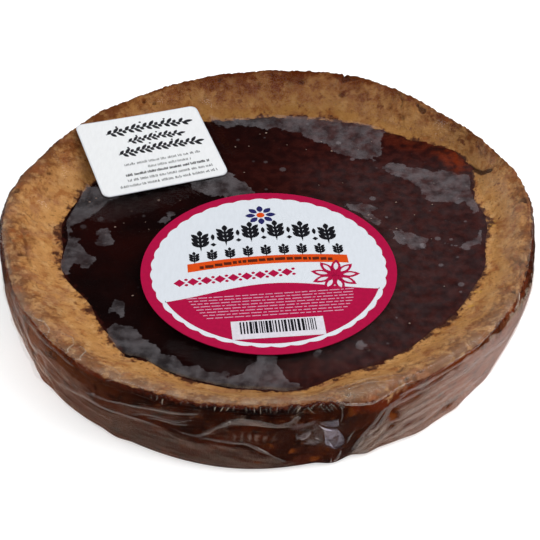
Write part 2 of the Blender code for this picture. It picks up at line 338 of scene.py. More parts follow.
def turned_mesh(name, rows, first_centre=None, last_centre=None):
    """Mesh object from rings of points, with a fan of triangles at each given centre."""
    count, columns = rows.shape[:2]
    points = rows.reshape(-1, 3)
    here = np.arange(columns)
    beside = (here + 1) % columns
    low = np.arange(count - 1)[:, None] * columns
    high = low + columns
    quads = np.stack([low + here, low + beside, high + beside, high + here], axis=-1).reshape(-1, 4)
    faces = quads.tolist()
    points = points.tolist()
    if first_centre is not None:
        points.append(first_centre)
        middle = len(points) - 1
        faces += [(middle, int(second), int(first)) for first, second in zip(here, beside)]
    if last_centre is not None:
        points.append(last_centre)
        middle = len(points) - 1
        top = (count - 1) * columns
        faces += [(top + int(first), top + int(second), middle) for first, second in zip(here, beside)]
    return new_piece(name, points, faces)


def new_piece(name, points, faces):
    """Link a smooth mesh object that rides with the cake."""
    mesh = bpy.data.meshes.new(name)
    mesh.from_pydata(points, [], faces)
    mesh.validate()
    mesh.shade_smooth()
    piece = bpy.data.objects.new(name, mesh)
    bpy.context.scene.collection.objects.link(piece)
    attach(piece, "root")
    return piece


def mark(piece, name, values, rest=0.0):
    """Keep one number for each point of a piece, for its material. Centres take the rest value."""
    full = np.full(len(piece.data.vertices), rest, dtype=np.float32)
    flat = np.asarray(values, dtype=np.float32).reshape(-1)
    full[:len(flat)] = flat
    attribute = piece.data.attributes.new(name, "FLOAT", "POINT")
    attribute.data.foreach_set("value", full)


def tint(red, green, blue):
    """Linear colour with full alpha, from the 0 to 255 values that a screen shows."""
    shares = [value / 255.0 for value in (red, green, blue)]
    linear = [s / 12.92 if s <= 0.04045 else ((s + 0.055) / 1.055) ** 2.4 for s in shares]
    return (*linear, 1.0)


def new_material(name):
    """Material with an empty node tree, and that tree."""
    material = bpy.data.materials.new(name)
    material.use_nodes = True
    material.node_tree.nodes.clear()
    return material, material.node_tree


def add_node(tree, kind, inputs=(), **settings):
    """Node of a kind, with its settings, and its inputs set to numbers or linked to outputs."""
    node = tree.nodes.new("ShaderNode" + kind)
    for key, value in settings.items():
        setattr(node, key, value)
    for key, value in dict(inputs).items():
        if isinstance(value, bpy.types.NodeSocket):
            tree.links.new(value, node.inputs[key])
        else:
            node.inputs[key].default_value = value
    return node


def read(tree, name):
    """The number that a mesh keeps under a name."""
    return add_node(tree, "Attribute", attribute_name=name).outputs["Fac"]


def place_scaled(tree, scale):
    """Place on the object in metres, stretched by a scale along each axis."""
    here = add_node(tree, "TexCoord").outputs["Object"]
    return add_node(tree, "Mapping", {"Vector": here, "Scale": scale}).outputs["Vector"]


def grain(tree, size, detail=2.0, roughness=0.5, stretch=(1.0, 1.0, 1.0), distortion=0.0):
    """Noise from 0 to 1 with features of a size in metres."""
    scale = tuple(1.0 / (size * part) for part in stretch)
    inputs = {
        "Vector": place_scaled(tree, scale),
        "Scale": 1.0,
        "Detail": detail,
        "Roughness": roughness,
        "Distortion": distortion,
    }
    return add_node(tree, "TexNoise", inputs).outputs["Fac"]


def maths(tree, operation, first, second=0.0, third=0.0):
    """One number worked out from up to three."""
    return add_node(tree, "Math", {0: first, 1: second, 2: third}, operation=operation).outputs[0]


def span(tree, value, low, high, to_low=0.0, to_high=1.0):
    """Value carried smoothly from one range to another and kept inside it."""
    inputs = {"Value": value, 1: low, 2: high, 3: to_low, 4: to_high}
    node = add_node(tree, "MapRange", inputs, interpolation_type="SMOOTHSTEP")
    return node.outputs["Result"]


def ramp(tree, factor, stops):
    """Colour along a row of (place, colour) stops."""
    node = add_node(tree, "ValToRGB", {"Fac": factor})
    elements = node.color_ramp.elements
    elements[0].position, elements[0].color = stops[0]
    elements[1].position, elements[1].color = stops[-1]
    for place, colour in stops[1:-1]:
        elements.new(place).color = colour
    return node.outputs["Color"]


def mixed(tree, factor, first, second, blend="MIX"):
    """Mix of two colours."""
    node = add_node(tree, "Mix", data_type="RGBA", blend_type=blend)
    for socket, value in ((0, factor), (6, first), (7, second)):
        if isinstance(value, bpy.types.NodeSocket):
            tree.links.new(value, node.inputs[socket])
        else:
            node.inputs[socket].default_value = value
    return node.outputs[2]


def principled(tree, colour, roughness, specular=0.5, normal=None):
    """Plain opaque surface of a colour, with a relief's normal if there is one."""
    inputs = {"Base Color": colour, "Roughness": roughness, "Specular IOR Level": specular}
    if normal is not None:
        inputs["Normal"] = normal
    return add_node(tree, "BsdfPrincipled", inputs).outputs["BSDF"]


def shaken(tree, value, noise, down, up, low=0.25, high=0.75):
    """Value moved down and up by a noise, so that what follows it has a ragged edge."""
    return maths(tree, "ADD", value, span(tree, noise, low, high, down, up))


def layered(tree, colour, given, layers):
    """Colour with layers over it, each following one of the given values."""
    for name, start, full, share, shade in layers:
        colour = mixed(tree, span(tree, given[name], start, full, 0.0, share), colour, tint(*shade))
    return colour


def bumped(tree, height, distance, strength=1.0):
    """Normal of a fine relief, whose height from 0 to 1 stands for a distance in metres."""
    inputs = {"Height": height, "Distance": distance, "Strength": strength}
    return add_node(tree, "Bump", inputs).outputs["Normal"]


def show(tree, shader):
    """Send a shader to the material's output."""
    add_node(tree, "OutputMaterial", {"Surface": shader})


# Relief of the crust: size and depth of its lumps, crumb, specks, pits and cracks, in metres
LUMP_SIZE, LUMP_DEPTH = 0.0058, 0.00060
CRUMB_SIZE, CRUMB_DEPTH = 0.0021, 0.00042
SPECK_SIZE, SPECK_DEPTH = 0.0014, 0.00022
PIT_SIZE, PIT_DEPTH, PIT_START, PIT_FULL = 0.0034, 0.00100, 0.30, 0.55
CRACK_SIZE, CRACK_DEPTH, CRACK_WIDTH = 0.0075, 0.00060, 0.060

# Hollows in the wall just under its top edge: azimuth and half width in degrees, depth
UNDERCUTS = ((-97, 36, 0.0015), (-150, 26, 0.0007), (-60, 20, 0.0005))
UNDERCUT_PLACE, UNDERCUT_REACH = 1.02, 0.30

# Sides by azimuth and half width in degrees and strength
# Painted shade on the top at the back
SHADED_BACK_SIDES = ((86, 92, 1.0), (152, 34, 0.16))
# Paler wall and red band: painted light towards the right, and paler crust at the left
BRIGHT_SIDES = ((-42, 34, 1.0), (-148, 18, 0.45), (-146, 36, 0.70), (60, 120, 0.35))
# Painted shade on the top at the front and in a near-black band under the lip there
SHADED_SIDES = ((-93, 34, 1.0),)

# Orange-brown spots of the wall: azimuth in degrees, height, half width and half height in mm
WALL_SPOTS = (
    (-64.4, 14.6, 2.6, 4.6), (-81, 25.5, 3.6, 2.4), (-74, 22.5, 3.4, 4.4), (-78.5, 8.5, 3, 2),
    (-148.5, 19.5, 3.4, 4), (-90, 12, 3.6, 1.4), (-92, 5.5, 3.4, 1.8), (-80, 4.5, 2.4, 1.6),
    (-59, 20.5, 4, 1.3), (-84, 9.5, 2.2, 1.8),
)

# Stains on the dough: azimuth in degrees, place, half width and half height in mm, strength, and 0 where
# brown, 1 where black or -1 where golden
STAINS = (
    (-176.8, 2.92, 1.3, 1.8, 0.8, 0), (-149.5, 2.8, 1.6, 1, 0.8, 0), (-146.5, 2.88, 1.8, 1.4, 0.6, 0),
    (-152.5, 2.93, 1.8, 1.6, 0.8, 0), (-163.8, 2.28, 1, 0.7, 0.6, 0), (-163.6, 2.12, 1, 0.7, 0.6, 0),
    (-164.6, 1.96, 1, 0.7, 0.6, 0), (-165.4, 1.8, 1, 0.7, 0.5, 0), (-168, 2.93, 1.2, 0.8, 0.6, 0),
    (4, 2.7, 1.2, 0.8, 0.6, 0), (47, 2.7, 2.2, 0.8, 0.8, 0), (14.5, 2.45, 1.8, 1, 0.8, 0),
    (34, 2.55, 2.6, 1.2, 0.9, 0), (29, 2.35, 2.2, 1, 0.9, 0), (8, 2.3, 1.6, 1, 0.8, 0),
    (62, 2.4, 1.8, 0.7, 0.8, 0), (12, 2.9, 1.6, 1, 0.8, 0), (-38, 2.92, 2, 0.9, 0.5, 0),
    (-128, 2.9, 1.4, 0.9, 0.5, 0), (-112, 2.93, 2.4, 0.8, 0.5, 0), (-62, 2.93, 2, 0.8, 0.6, 0),
    (88, 2.37, 2.8, 1.6, 1, 0), (77.8, 2.35, 2.8, 1.6, 1, 0), (93, 2.36, 2.2, 1.2, 0.9, 0),
    (103.8, 2.49, 2.6, 1.5, 1, 0), (75.5, 2.54, 2.2, 1.1, 0.9, 0), (71.2, 2.72, 2, 1, 0.9, 0),
    (84, 2.46, 1.6, 0.9, 0.8, 0), (69.2, 2.36, 2.2, 1.5, 0.9, 0), (107, 2.21, 2.4, 1.5, 0.9, 0),
    (98.3, 2.59, 1.6, 0.9, 0.8, 0), (80.5, 2.7, 1.6, 0.9, 0.8, 0), (64.2, 2.44, 2.4, 1.5, 1, 0),
    (58.8, 2.47, 1.8, 1.2, 0.9, 0), (52, 2.08, 2.4, 1.8, 1, 0), (42.8, 2.22, 2.4, 1.9, 1, 0),
    (37.5, 2.28, 2.2, 1.9, 1, 0), (0, 1.9, 12, 1.8, 0.7, 0), (-22, 1.96, 7, 1.2, 0.6, 0),
    (22, 1.95, 9, 1.4, 0.6, 0), (-50, 0.2, 1.5, 0.7, 1.2, 1), (-42.8, 0.02, 1.5, 0.7, 1.2, 1),
    (-51.8, 0.2, 1.2, 0.4, 1, 0), (3, 2.92, 2.6, 1.9, 0.9, -1), (-24, 2.9, 1.8, 2.2, 0.8, -1),
    (-30, 2.86, 1.6, 2.4, 0.8, -1),
)
SLOPE_RUN = 14.0

# Share of each pleat of the film that the dough fills
PLEAT_FILL = 0.85

# Splits and steps in the dough: width and depth in mm, then azimuth in degrees and place
SPLITS = (
    (1.3, 1.1, ((27.5, 3), (25, 2.87), (22.2, 2.69), (20.8, 2.52), (20.2, 2.45))),
    (1, 0.35, ((-175, 2.3), (-173.5, 2.33), (-170, 2.35), (-166.8, 2.38), (-163.5, 2.4))),
    (1.4, 0.3, ((-164, 1.68), (-164.5, 2.07), (-164, 2.29))),
)

# Mean depth of the dents and lumps, by which the form stands out before they are pressed in
RELIEF_MEAN = 0.00085

# Reaches of the relief as places on the profile: above the foot, from the start of the rim, over the outer
# rim and up to the jam
FOOT_REACH = 0.12
RIM_START, RIM_REACH = 0.9, 0.2
OUTER_START, OUTER_END, OUTER_FADE = 1.0, 2.3, 0.4
JAM_START, JAM_REACH = 2.75, 0.25

# Value of a mark far outside every spot, stain or patch
OUTSIDE = -9.0

# Where each noise is read, so that no two run alike
SEEDS = {
    "lumps": 21.0, "crumb": 4.1, "specks": 44.0, "pits": 11.7, "pitted": 2.6, "cracks": 33.3,
    "cracked": 8.8, "swells": 5.5, "bubbles": 9.4, "ribs": 14.0, "long_waves": 61.0, "ripple": 72.0,
}

# Shares of the relief: crumb on the wall, what the top and the outer rim add, pits and cracks off that rim
ROUGH_WALL, ROUGH_TOP, ROUGH_RIM = 0.35, 0.20, 0.45
PITS_ELSEWHERE, CRACKS_ELSEWHERE = 0.35, 0.15
RIDGE_SHARPNESS = 2.2


def slow_relief(points, places):
    """Depth of the dents and lumps that the film follows too."""
    on_rim = ease((places - RIM_START) / RIM_REACH)
    depth = half_noise(points, DENT_SIZE, NOISE_SEED) * (WALL_DENTS + (RIM_DENTS - WALL_DENTS) * on_rim)
    depth += LUMP_DEPTH * half_noise(points, LUMP_SIZE, SEEDS["lumps"])
    at_jam = ease((places - JAM_START) / JAM_REACH)
    off_foot = ease(places / FOOT_REACH)
    return (depth * (1.0 - at_jam) - RELIEF_MEAN * ease((3.0 - places) / 0.3)) * off_foot


def split_at(turn, places):
    """Depth in mm of the splits at each point of the crust."""
    deepest = np.zeros(turn.shape)
    for width, depth, route in SPLITS:
        route = [(azimuth, SLOPE_RUN * place) for azimuth, place in route]
        deepest = np.maximum(deepest, depth * ridge(turn, 0.001 * SLOPE_RUN * places, route, 0.001 * width))
    return deepest


def crust_relief(points, places, turn):
    """How far the crust lies inside its smooth form, and how deep in a pit or crack it is."""
    on_top = ease((places - RIM_START) / RIM_REACH)
    outer_rim = ease((places - OUTER_START) / RIM_REACH) * (1.0 - ease((places - OUTER_END) / OUTER_FADE))
    crumb = noise_at(points, CRUMB_SIZE, SEEDS["crumb"])
    specks = half_noise(points, SPECK_SIZE, SEEDS["specks"]) * on_top
    pits = ease((noise_at(points, PIT_SIZE, SEEDS["pits"]) - PIT_START) / (PIT_FULL - PIT_START))
    pits *= ease((noise_at(points, 3.0 * PIT_SIZE, SEEDS["pitted"]) + 0.15) / 0.4)
    cracks = 1.0 - ease(np.abs(noise_at(points, CRACK_SIZE, SEEDS["cracks"])) / CRACK_WIDTH)
    cracks *= ease((noise_at(points, 2.0 * CRACK_SIZE, SEEDS["cracked"]) + 0.05) / 0.3)
    ridged = np.clip(1.0 - RIDGE_SHARPNESS * np.abs(crumb), 0.0, 1.0)
    crumb = 0.5 + 0.5 * crumb + outer_rim * (ridged - 0.5 - 0.5 * crumb)
    rough = ROUGH_WALL + ROUGH_TOP * on_top + ROUGH_RIM * outer_rim
    rough = rough * (1.0 - 0.5 * ease((places - 2.8) / 0.2))
    pits *= PITS_ELSEWHERE + (1.0 - PITS_ELSEWHERE) * outer_rim
    cracks *= CRACKS_ELSEWHERE + (1.0 - CRACKS_ELSEWHERE) * outer_rim
    depth = rough * (CRUMB_DEPTH * crumb + SPECK_DEPTH * specks)
    depth += PIT_DEPTH * pits + CRACK_DEPTH * cracks + 0.001 * split_at(turn, places)
    under = 1.0 - ease(np.abs(places - UNDERCUT_PLACE) / UNDERCUT_REACH)
    hollow = under * swells(turn, UNDERCUTS)
    cavity = np.maximum(np.maximum(pits, 0.7 * cracks), 0.35 * rough * ridged * outer_rim)
    return (depth + hollow) * ease(places / FOOT_REACH) + slow_relief(points, places), cavity


def spots_at(turn, heights):
    """How far inside one of the wall's spots each point is, 1 in the middle of one."""
    spot = np.full(turn.shape, -np.inf)
    for azimuth, level, half_width, half_height in WALL_SPOTS:
        x = away_from(turn, azimuth) * ARC / half_width
        y = (1000.0 * heights - level) / half_height
        spot = np.maximum(spot, 1.0 - np.hypot(x, y))
    return spot


def stains_at(turn, places):
    """How far inside one of the stains each point is, and whether that one is brown, black or golden."""
    stain = np.full(turn.shape, OUTSIDE)
    black = np.zeros(turn.shape)
    for azimuth, level, half_width, half_height, strength, dark in STAINS:
        x = away_from(turn, azimuth) * ARC / half_width
        y = (places - level) * SLOPE_RUN / half_height
        inside = strength - np.hypot(x, y)
        black = np.where(inside > stain, dark, black)
        stain = np.maximum(stain, inside)
    return stain, black


def make_crust():
    """Crumbly crust of the whole cake: base, wall, rim and the dish under the jam."""
    turn, places = np.meshgrid(turn_of(CRUST_COLUMNS), row_places(CRUST_ROWS))
    radii, heights = profile_at(turn, places)
    outward, upward, _ = outward_at(turn, places)
    smooth = ring_points(turn, radii, heights)
    depth, cavity = crust_relief(smooth, places, turn)
    depth -= PLEAT_FILL * pleats_at(turn, places, heights) * ease((places + 0.9) / 0.4)
    rows = ring_points(turn, radii - outward * depth, heights - upward * depth)
    floor = JAM_LEVEL - JAM_DEPTH - FIT_GAP
    side = dish_side(turn[:1], floor, FIT_GAP)
    rows = np.concatenate([rows, ring_points(turn[:1], side, np.full_like(side, floor))])
    base = (-LEAN, 0.0, 0.0)
    middle = (-LEAN * (1.0 - floor / CREST_HEIGHT), 0.0, floor)
    crust = turned_mesh("crust", rows, base, middle)
    stain, black = stains_at(turn, places)
    for name, values, in_dish, rest in (
        ("profile", places, 3.0, 0.0),
        ("cavity", cavity, 0.0, 0.0),
        ("lip", places - lip_place(turn), 1.0, -1.0),
        ("shaded_back", swells(turn, SHADED_BACK_SIDES), 0.0, 0.0),
        ("bright", swells(turn, BRIGHT_SIDES), 0.0, 0.0),
        ("shade", swells(turn, SHADED_SIDES), 0.0, 0.0),
        ("spot", spots_at(turn, heights), OUTSIDE, OUTSIDE),
        ("split", split_at(turn, places), 0.0, 0.0),
        ("stain", stain, OUTSIDE, OUTSIDE),
        ("black", black, 0.0, 0.0),
    ):
        mark(crust, name, np.concatenate([values, np.full((1, CRUST_COLUMNS), in_dish)]), rest)
    crust.data.materials.append(crust_material())
    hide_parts("cake")


# Values that the crust's mesh keeps for its material
CRUST_MARKS = ("profile", "cavity", "lip", "shaded_back", "bright", "shade", "spot", "split", "stain", "black")

# Noises of the dough's colour: size in metres, detail, roughness and distortion
DOUGH_NOISES = {
    "patches": (0.012, 5.0, 0.62, 0.0),
    "mottle": (0.0034, 5.0, 0.68, 0.0),
    "blush": (0.0085, 4.0, 0.60, 0.0),
    "toast": (0.0058, 5.0, 0.65, 0.4),
    "pale": (0.0038, 5.0, 0.66, 0.0),
    "specks": (0.0012, 2.0, 0.50, 0.0),
}

# Colour from the lip down to the jam, as stops of red, green and blue on a screen
TOP_RAMP = ((0.00, (108, 66, 44)), (0.30, (124, 78, 48)), (0.54, (146, 92, 52)), (0.68, (202, 144, 86)),
            (0.88, (216, 158, 96)), (0.97, (206, 148, 86)))

# Layers of colour: the value that each follows, where it starts and is full, its share, and its colour
TOP_LAYERS = (("blush", 0.50, 0.66, 0.60, (172, 116, 84)), ("toast", 0.49, 0.66, 0.62, (160, 86, 42)),
              ("pale", 0.48, 0.68, 0.46, (236, 188, 130)))
# Blotches of the darker copy of the top at the back, which is painted shade
SHADED_TOP_LAYERS = (("toast", 0.50, 0.62, 0.60, (76, 28, 6)), ("pale", 0.50, 0.64, 0.50, (126, 72, 14)),
               ("mottle", 0.52, 0.64, 0.70, (56, 20, 0)))
WALL_LAYERS = (("patches", 0.44, 0.60, 0.60, (68, 24, 7)), ("mottle", 0.48, 0.66, 0.80, (16, 6, 4)))
RED_LAYERS = (("toast", 0.46, 0.60, 0.70, (40, 13, 5)),)
# Specks, then painted shade in pits, cracks and crumb hollows, then a tan ring next to the jam
HOLLOW_LAYERS = (("specks", 0.60, 0.70, 0.45, (96, 50, 26)), ("cavity", 0.15, 0.90, 0.70, (64, 28, 16)),
                 ("seep", 2.84, 2.97, 0.35, (146, 96, 52)))
# Painted shade in the splits, then darker rings of the dough next to the jam
EDGE_LAYERS = (("split", 0.05, 0.70, 0.85, (58, 26, 18)), ("seep", 2.88, 2.98, 0.66, (116, 70, 48)),
               ("seep", 2.945, 3.00, 0.82, (62, 32, 28)))

def crust_material():
    """Baked butter dough: dark wall, brown crest, golden inner slope, with blotches, specks and pits, and
    painted light and shade.
    """
    material, tree = new_material("baked_dough")
    given = {
        name: grain(tree, size, detail, roughness, distortion=distortion)
        for name, (size, detail, roughness, distortion) in DOUGH_NOISES.items()
    }
    for name in CRUST_MARKS:
        given[name] = read(tree, name)
    mottle, toast, specks = given["mottle"], given["toast"], given["specks"]

    shifted = shaken(tree, given["profile"], given["patches"], -0.32, 0.32)
    shifted = shaken(tree, shifted, mottle, -0.26, 0.26)
    top = ramp(tree, maths(tree, "MULTIPLY_ADD", shifted, 0.5, -0.5),
               [(place, tint(*shade)) for place, shade in TOP_RAMP])
    top = layered(tree, top, given, TOP_LAYERS)
    # Painted shade on the top at the front
    top = mixed(tree, maths(tree, "MULTIPLY", given["shade"], 0.22), top, tint(92, 60, 44))
    # Darker copy of the top, towards which the back turns: painted shade
    shaded_top = mixed(tree, span(tree, shifted, 2.30, 2.80), tint(84, 25, 0), tint(90, 56, 0))
    shaded_top = layered(tree, shaded_top, given, SHADED_TOP_LAYERS)
    back_shade = maths(tree, "MULTIPLY", given["shaded_back"], span(tree, shifted, 2.7, 1.7, 0.58, 0.92))
    top = mixed(tree, back_shade, top, shaded_top)

    # Dark wall, paler where BRIGHT_SIDES reaches: painted light towards the right
    wall = mixed(tree, given["bright"], tint(38, 11, 4), tint(112, 60, 32))
    wall = layered(tree, wall, given, WALL_LAYERS)
    fuzz = span(tree, mottle, 0.25, 0.75, -0.6, 0.6)
    spot = span(tree, maths(tree, "ADD", given["spot"], fuzz), 0.1, 0.6)
    amber = mixed(tree, span(tree, given["pale"], 0.4, 0.6), tint(46, 15, 4), tint(108, 50, 14))
    wall = mixed(tree, spot, wall, amber)
    lip = shaken(tree, given["lip"], mottle, -0.12, 0.12)
    lip = shaken(tree, lip, specks, -0.07, 0.07)
    # Near-black painted shade in a band under the lip at the front
    band = maths(tree, "MULTIPLY", span(tree, lip, -1.05, -0.60), given["shade"])
    wall = mixed(tree, band, wall, tint(14, 4, 3))
    # Red-brown under the lip, paler where BRIGHT_SIDES reaches, with painted light
    red = mixed(tree, given["bright"], tint(78, 24, 8), tint(116, 50, 18))
    red = layered(tree, red, given, RED_LAYERS)
    red_start = maths(tree, "MULTIPLY_ADD", given["shade"], 0.10, -0.36)
    wall = mixed(tree, span(tree, maths(tree, "SUBTRACT", lip, red_start), 0.0, 0.2), wall, red)

    seep = shaken(tree, given["profile"], mottle, -0.11, 0.09, 0.30, 0.70)
    given["seep"] = shaken(tree, seep, toast, -0.09, 0.07, 0.35, 0.65)
    colour = mixed(tree, span(tree, lip, -0.04, 0.05), wall, top)
    colour = layered(tree, colour, given, HOLLOW_LAYERS)
    stain = maths(tree, "ADD", given["stain"], maths(tree, "MULTIPLY", fuzz, 0.6))
    stain = shaken(tree, stain, specks, -0.5, 0.5, 0.3, 0.7)
    blot = mixed(tree, given["black"], tint(104, 48, 30), tint(34, 10, 6))
    blot = mixed(tree, span(tree, given["black"], 0.0, -1.0), blot, tint(222, 168, 78))
    colour = mixed(tree, span(tree, stain, 0.0, 0.7, 0.0, 0.7), colour, blot)
    colour = layered(tree, colour, given, EDGE_LAYERS)

    relief = grain(tree, 0.0010, detail=5.0, roughness=0.7)
    relief = maths(tree, "MULTIPLY", relief, span(tree, given["profile"], 0.9, 1.3, 0.35, 1.0))
    rough = span(tree, mottle, 0.2, 0.8, 0.50, 0.72)
    show(tree, principled(tree, colour, rough, specular=0.012, normal=bumped(tree, relief, 0.00060)))
    return material


# Where the jam is thin enough to glow: azimuth and half width in degrees, strength
JAM_THIN = ((31, 8, 1.0), (44, 15, 0.25))

# The jam: drop and rounding of its edge, overlap on the dough, lumps of the edge as size, depth and noise
# seed, swells and bubbles of its top as size and depth, and rows over which these set in
JAM_EDGE_DROP = 0.0006
JAM_EDGE_ROUND = 0.0052
JAM_OVERLAP = 0.0030
JAM_EDGE_LUMPS = ((0.0046, 0.00075, 18.0), (0.0017, 0.00060, 27.0))
JAM_SWELL_SIZE, JAM_SWELL_DEPTH = 0.012, 0.00035
JAM_BUBBLE_SIZE, JAM_BUBBLE_DEPTH = 0.0035, 0.00012
JAM_FLAT_ROWS = 4


def make_jam():
    """Layer of dark jam with a rounded ragged edge and a gently uneven top."""
    turn = turn_of(JAM_COLUMNS)
    bottom = JAM_LEVEL - JAM_DEPTH
    rim = JAM_LEVEL - JAM_EDGE_DROP
    round_edge = ring_points(turn, np.full_like(turn, JAM_RADIUS), rim)
    climb = sum(depth * noise_at(round_edge, size, seed) for size, depth, seed in JAM_EDGE_LUMPS)
    side = dish_side(turn, rim, JAM_OVERLAP)
    flat = np.ones_like(turn)
    rows = [ring_points(turn, dish_side(turn, bottom, -FIT_GAP), flat * bottom)]
    for share in np.linspace(0.0, 1.0, JAM_EDGE_ROWS):
        level = rim + JAM_EDGE_DROP * math.sin(0.5 * math.pi * share)
        rows.append(ring_points(turn, side - JAM_EDGE_ROUND * share, level + climb * (1.0 - ease(share))))
    rounded = len(rows)
    for share in np.linspace(1.0, 0.0, JAM_ROWS + 1)[1:-1]:
        rows.append(ring_points(turn, (side - JAM_EDGE_ROUND) * share, flat * JAM_LEVEL))
    rows = np.array(rows)
    top = rows[rounded:]
    dip = JAM_SWELL_DEPTH * half_noise(top, JAM_SWELL_SIZE, SEEDS["swells"])
    dip += JAM_BUBBLE_DEPTH * half_noise(top, JAM_BUBBLE_SIZE, SEEDS["bubbles"])
    rows[rounded:, :, 2] -= dip * ease(np.arange(len(top)) / JAM_FLAT_ROWS)[:, None]
    low = (-LEAN * (1.0 - bottom / CREST_HEIGHT), 0.0, bottom)
    high = (-LEAN * (1.0 - JAM_LEVEL / CREST_HEIGHT), 0.0, JAM_LEVEL - 0.5 * JAM_SWELL_DEPTH)
    jam = turned_mesh("jam_layer", rows, low, high)
    from_edge = jam_edge(turn) - np.hypot(rows[:, :, 0], rows[:, :, 1])
    mark(jam, "from_edge", from_edge * 1000.0, rest=1000.0 * JAM_RADIUS)
    mark(jam, "lobe", np.broadcast_to(swells(turn, JAM_THIN), rows.shape[:2]))
    jam.data.materials.append(jam_material())
    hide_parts("jam")


def jam_material():
    """Dark glossy jam, redder where it is thin, with painted light towards the right."""
    material, tree = new_material("dark_jam")
    from_edge = read(tree, "from_edge")
    cloud = grain(tree, 0.022, detail=3.0)
    fine = grain(tree, 0.0032, detail=3.0)
    colour = mixed(tree, span(tree, cloud, 0.35, 0.7), tint(16, 5, 5), tint(34, 8, 6))
    here = add_node(tree, "TexCoord").outputs["Object"]
    side = add_node(tree, "SeparateXYZ", {0: here}).outputs["X"]
    side = span(tree, maths(tree, "MULTIPLY_ADD", cloud, 0.05, side), 0.0, 0.055)
    # Lighter towards the right: painted light
    light = mixed(tree, span(tree, fine, 0.35, 0.65), tint(40, 13, 12), tint(60, 22, 18))
    colour = mixed(tree, side, colour, light)
    thin = maths(tree, "MULTIPLY", span(tree, from_edge, 10.0, 5.0), read(tree, "lobe"))
    thin = maths(tree, "MULTIPLY", thin, span(tree, fine, 0.32, 0.62, 0.1, 1.0))
    colour = mixed(tree, thin, colour, tint(120, 42, 10))
    thread = span(tree, shaken(tree, from_edge, fine, -1.0, 1.0, 0.3, 0.7), 0.3, -0.8)
    colour = mixed(tree, maths(tree, "MULTIPLY", thread, 0.5), colour, tint(66, 26, 20))
    rough = span(tree, fine, 0.3, 0.7, 0.16, 0.30)
    show(tree, principled(tree, colour, rough, specular=0.05, normal=bumped(tree, fine, 0.0001)))
    return material


# The clear film: how far it stands off the crust, and how high its margin lies above the table
FILM_LIFT = 0.00016
FILM_MARGIN = 0.00015

# Soft folds of the film on the wall: width and height in metres, then azimuth in degrees and height in mm
FOLDS = (
    (0.0012, 0.0008, ((-153, 27), (-146, 26), (-141, 20), (-137, 11), (-134, 3))),
    (0.0011, 0.0007, ((-150, 22), (-141, 17), (-133, 14), (-124, 12.5), (-112, 12))),
    (0.0012, 0.0007, ((-146, 25), (-138, 22), (-130, 20.5), (-120, 18.5), (-109, 16))),
    (0.0013, 0.0008, ((-158, 3.5), (-146, 5.5), (-136, 5.5), (-126, 4), (-115, 3))),
    (0.0016, 0.0013, ((-102, 15.5), (-99.5, 20), (-96, 23), (-92, 23.2), (-86, 22.6), (-83, 24))),
    (0.0013, 0.0009, ((-107, 12.6), (-101.5, 13.2), (-93, 12.4), (-88, 9), (-85, 3))),
    (0.0012, 0.0009, ((172, 24), (160, 20), (149, 12), (140, 4))),
    (0.0012, 0.001, ((139, 23), (128, 17), (117, 14), (103, 13), (92, 15))),
    (0.0011, 0.0008, ((101, 24), (90, 21), (79, 20), (66, 21))),
    (0.0012, 0.001, ((84, 4), (72, 6), (58, 7), (44, 5))),
    (0.0012, 0.0009, ((40, 24), (31, 18), (22, 14), (8, 12), (-6, 13))),
    (0.0012, 0.0008, ((4, 5), (-8, 7), (-20, 6))),
)
# Long soft waves of the film along the wall: stretch along X, Y and Z, size and height in metres
LONG_WAVE_STRETCH = np.array([0.3, 0.3, 1.0])
LONG_WAVE_SIZE, LONG_WAVE_HEIGHT = 0.0045, 0.0004

# Ribs of shrunken film: azimuth and half width in degrees, height and reach in mm, spacing in degrees,
# depth in metres
RIBS = (
    (-93, 11, 16.5, 4.5, 1.5, 0.0006), (-98, 20, 26.5, 2.6, 1.6, 0.0002), (-100, 8, 6, 5, 1.9, 0.0003),
)
# Milk on the crests of the first row of ribs: painted light across them
RIB_CREST_SHEEN = 0.20

# Milky veil over the rim: azimuth and half width in degrees, place and reach on the profile, strength
VEILS = (
    (-168, 46, 1.5, 0.8, 0.2), (-118, 44, 1.8, 0.75, 0.16), (-88, 34, 1.85, 0.7, 0.19),
    (-35, 60, 1.85, 0.9, 0.14), (5, 46, 2.4, 0.4, 0.09),
)
VEIL_EVERYWHERE = 0.0008
# Painted sheen of the film over the right of the jam: strength, and the run over which it sets in
SHEEN_OVER_JAM_RIGHT, SHEEN_OVER_JAM_RUN = 0.018, 0.035

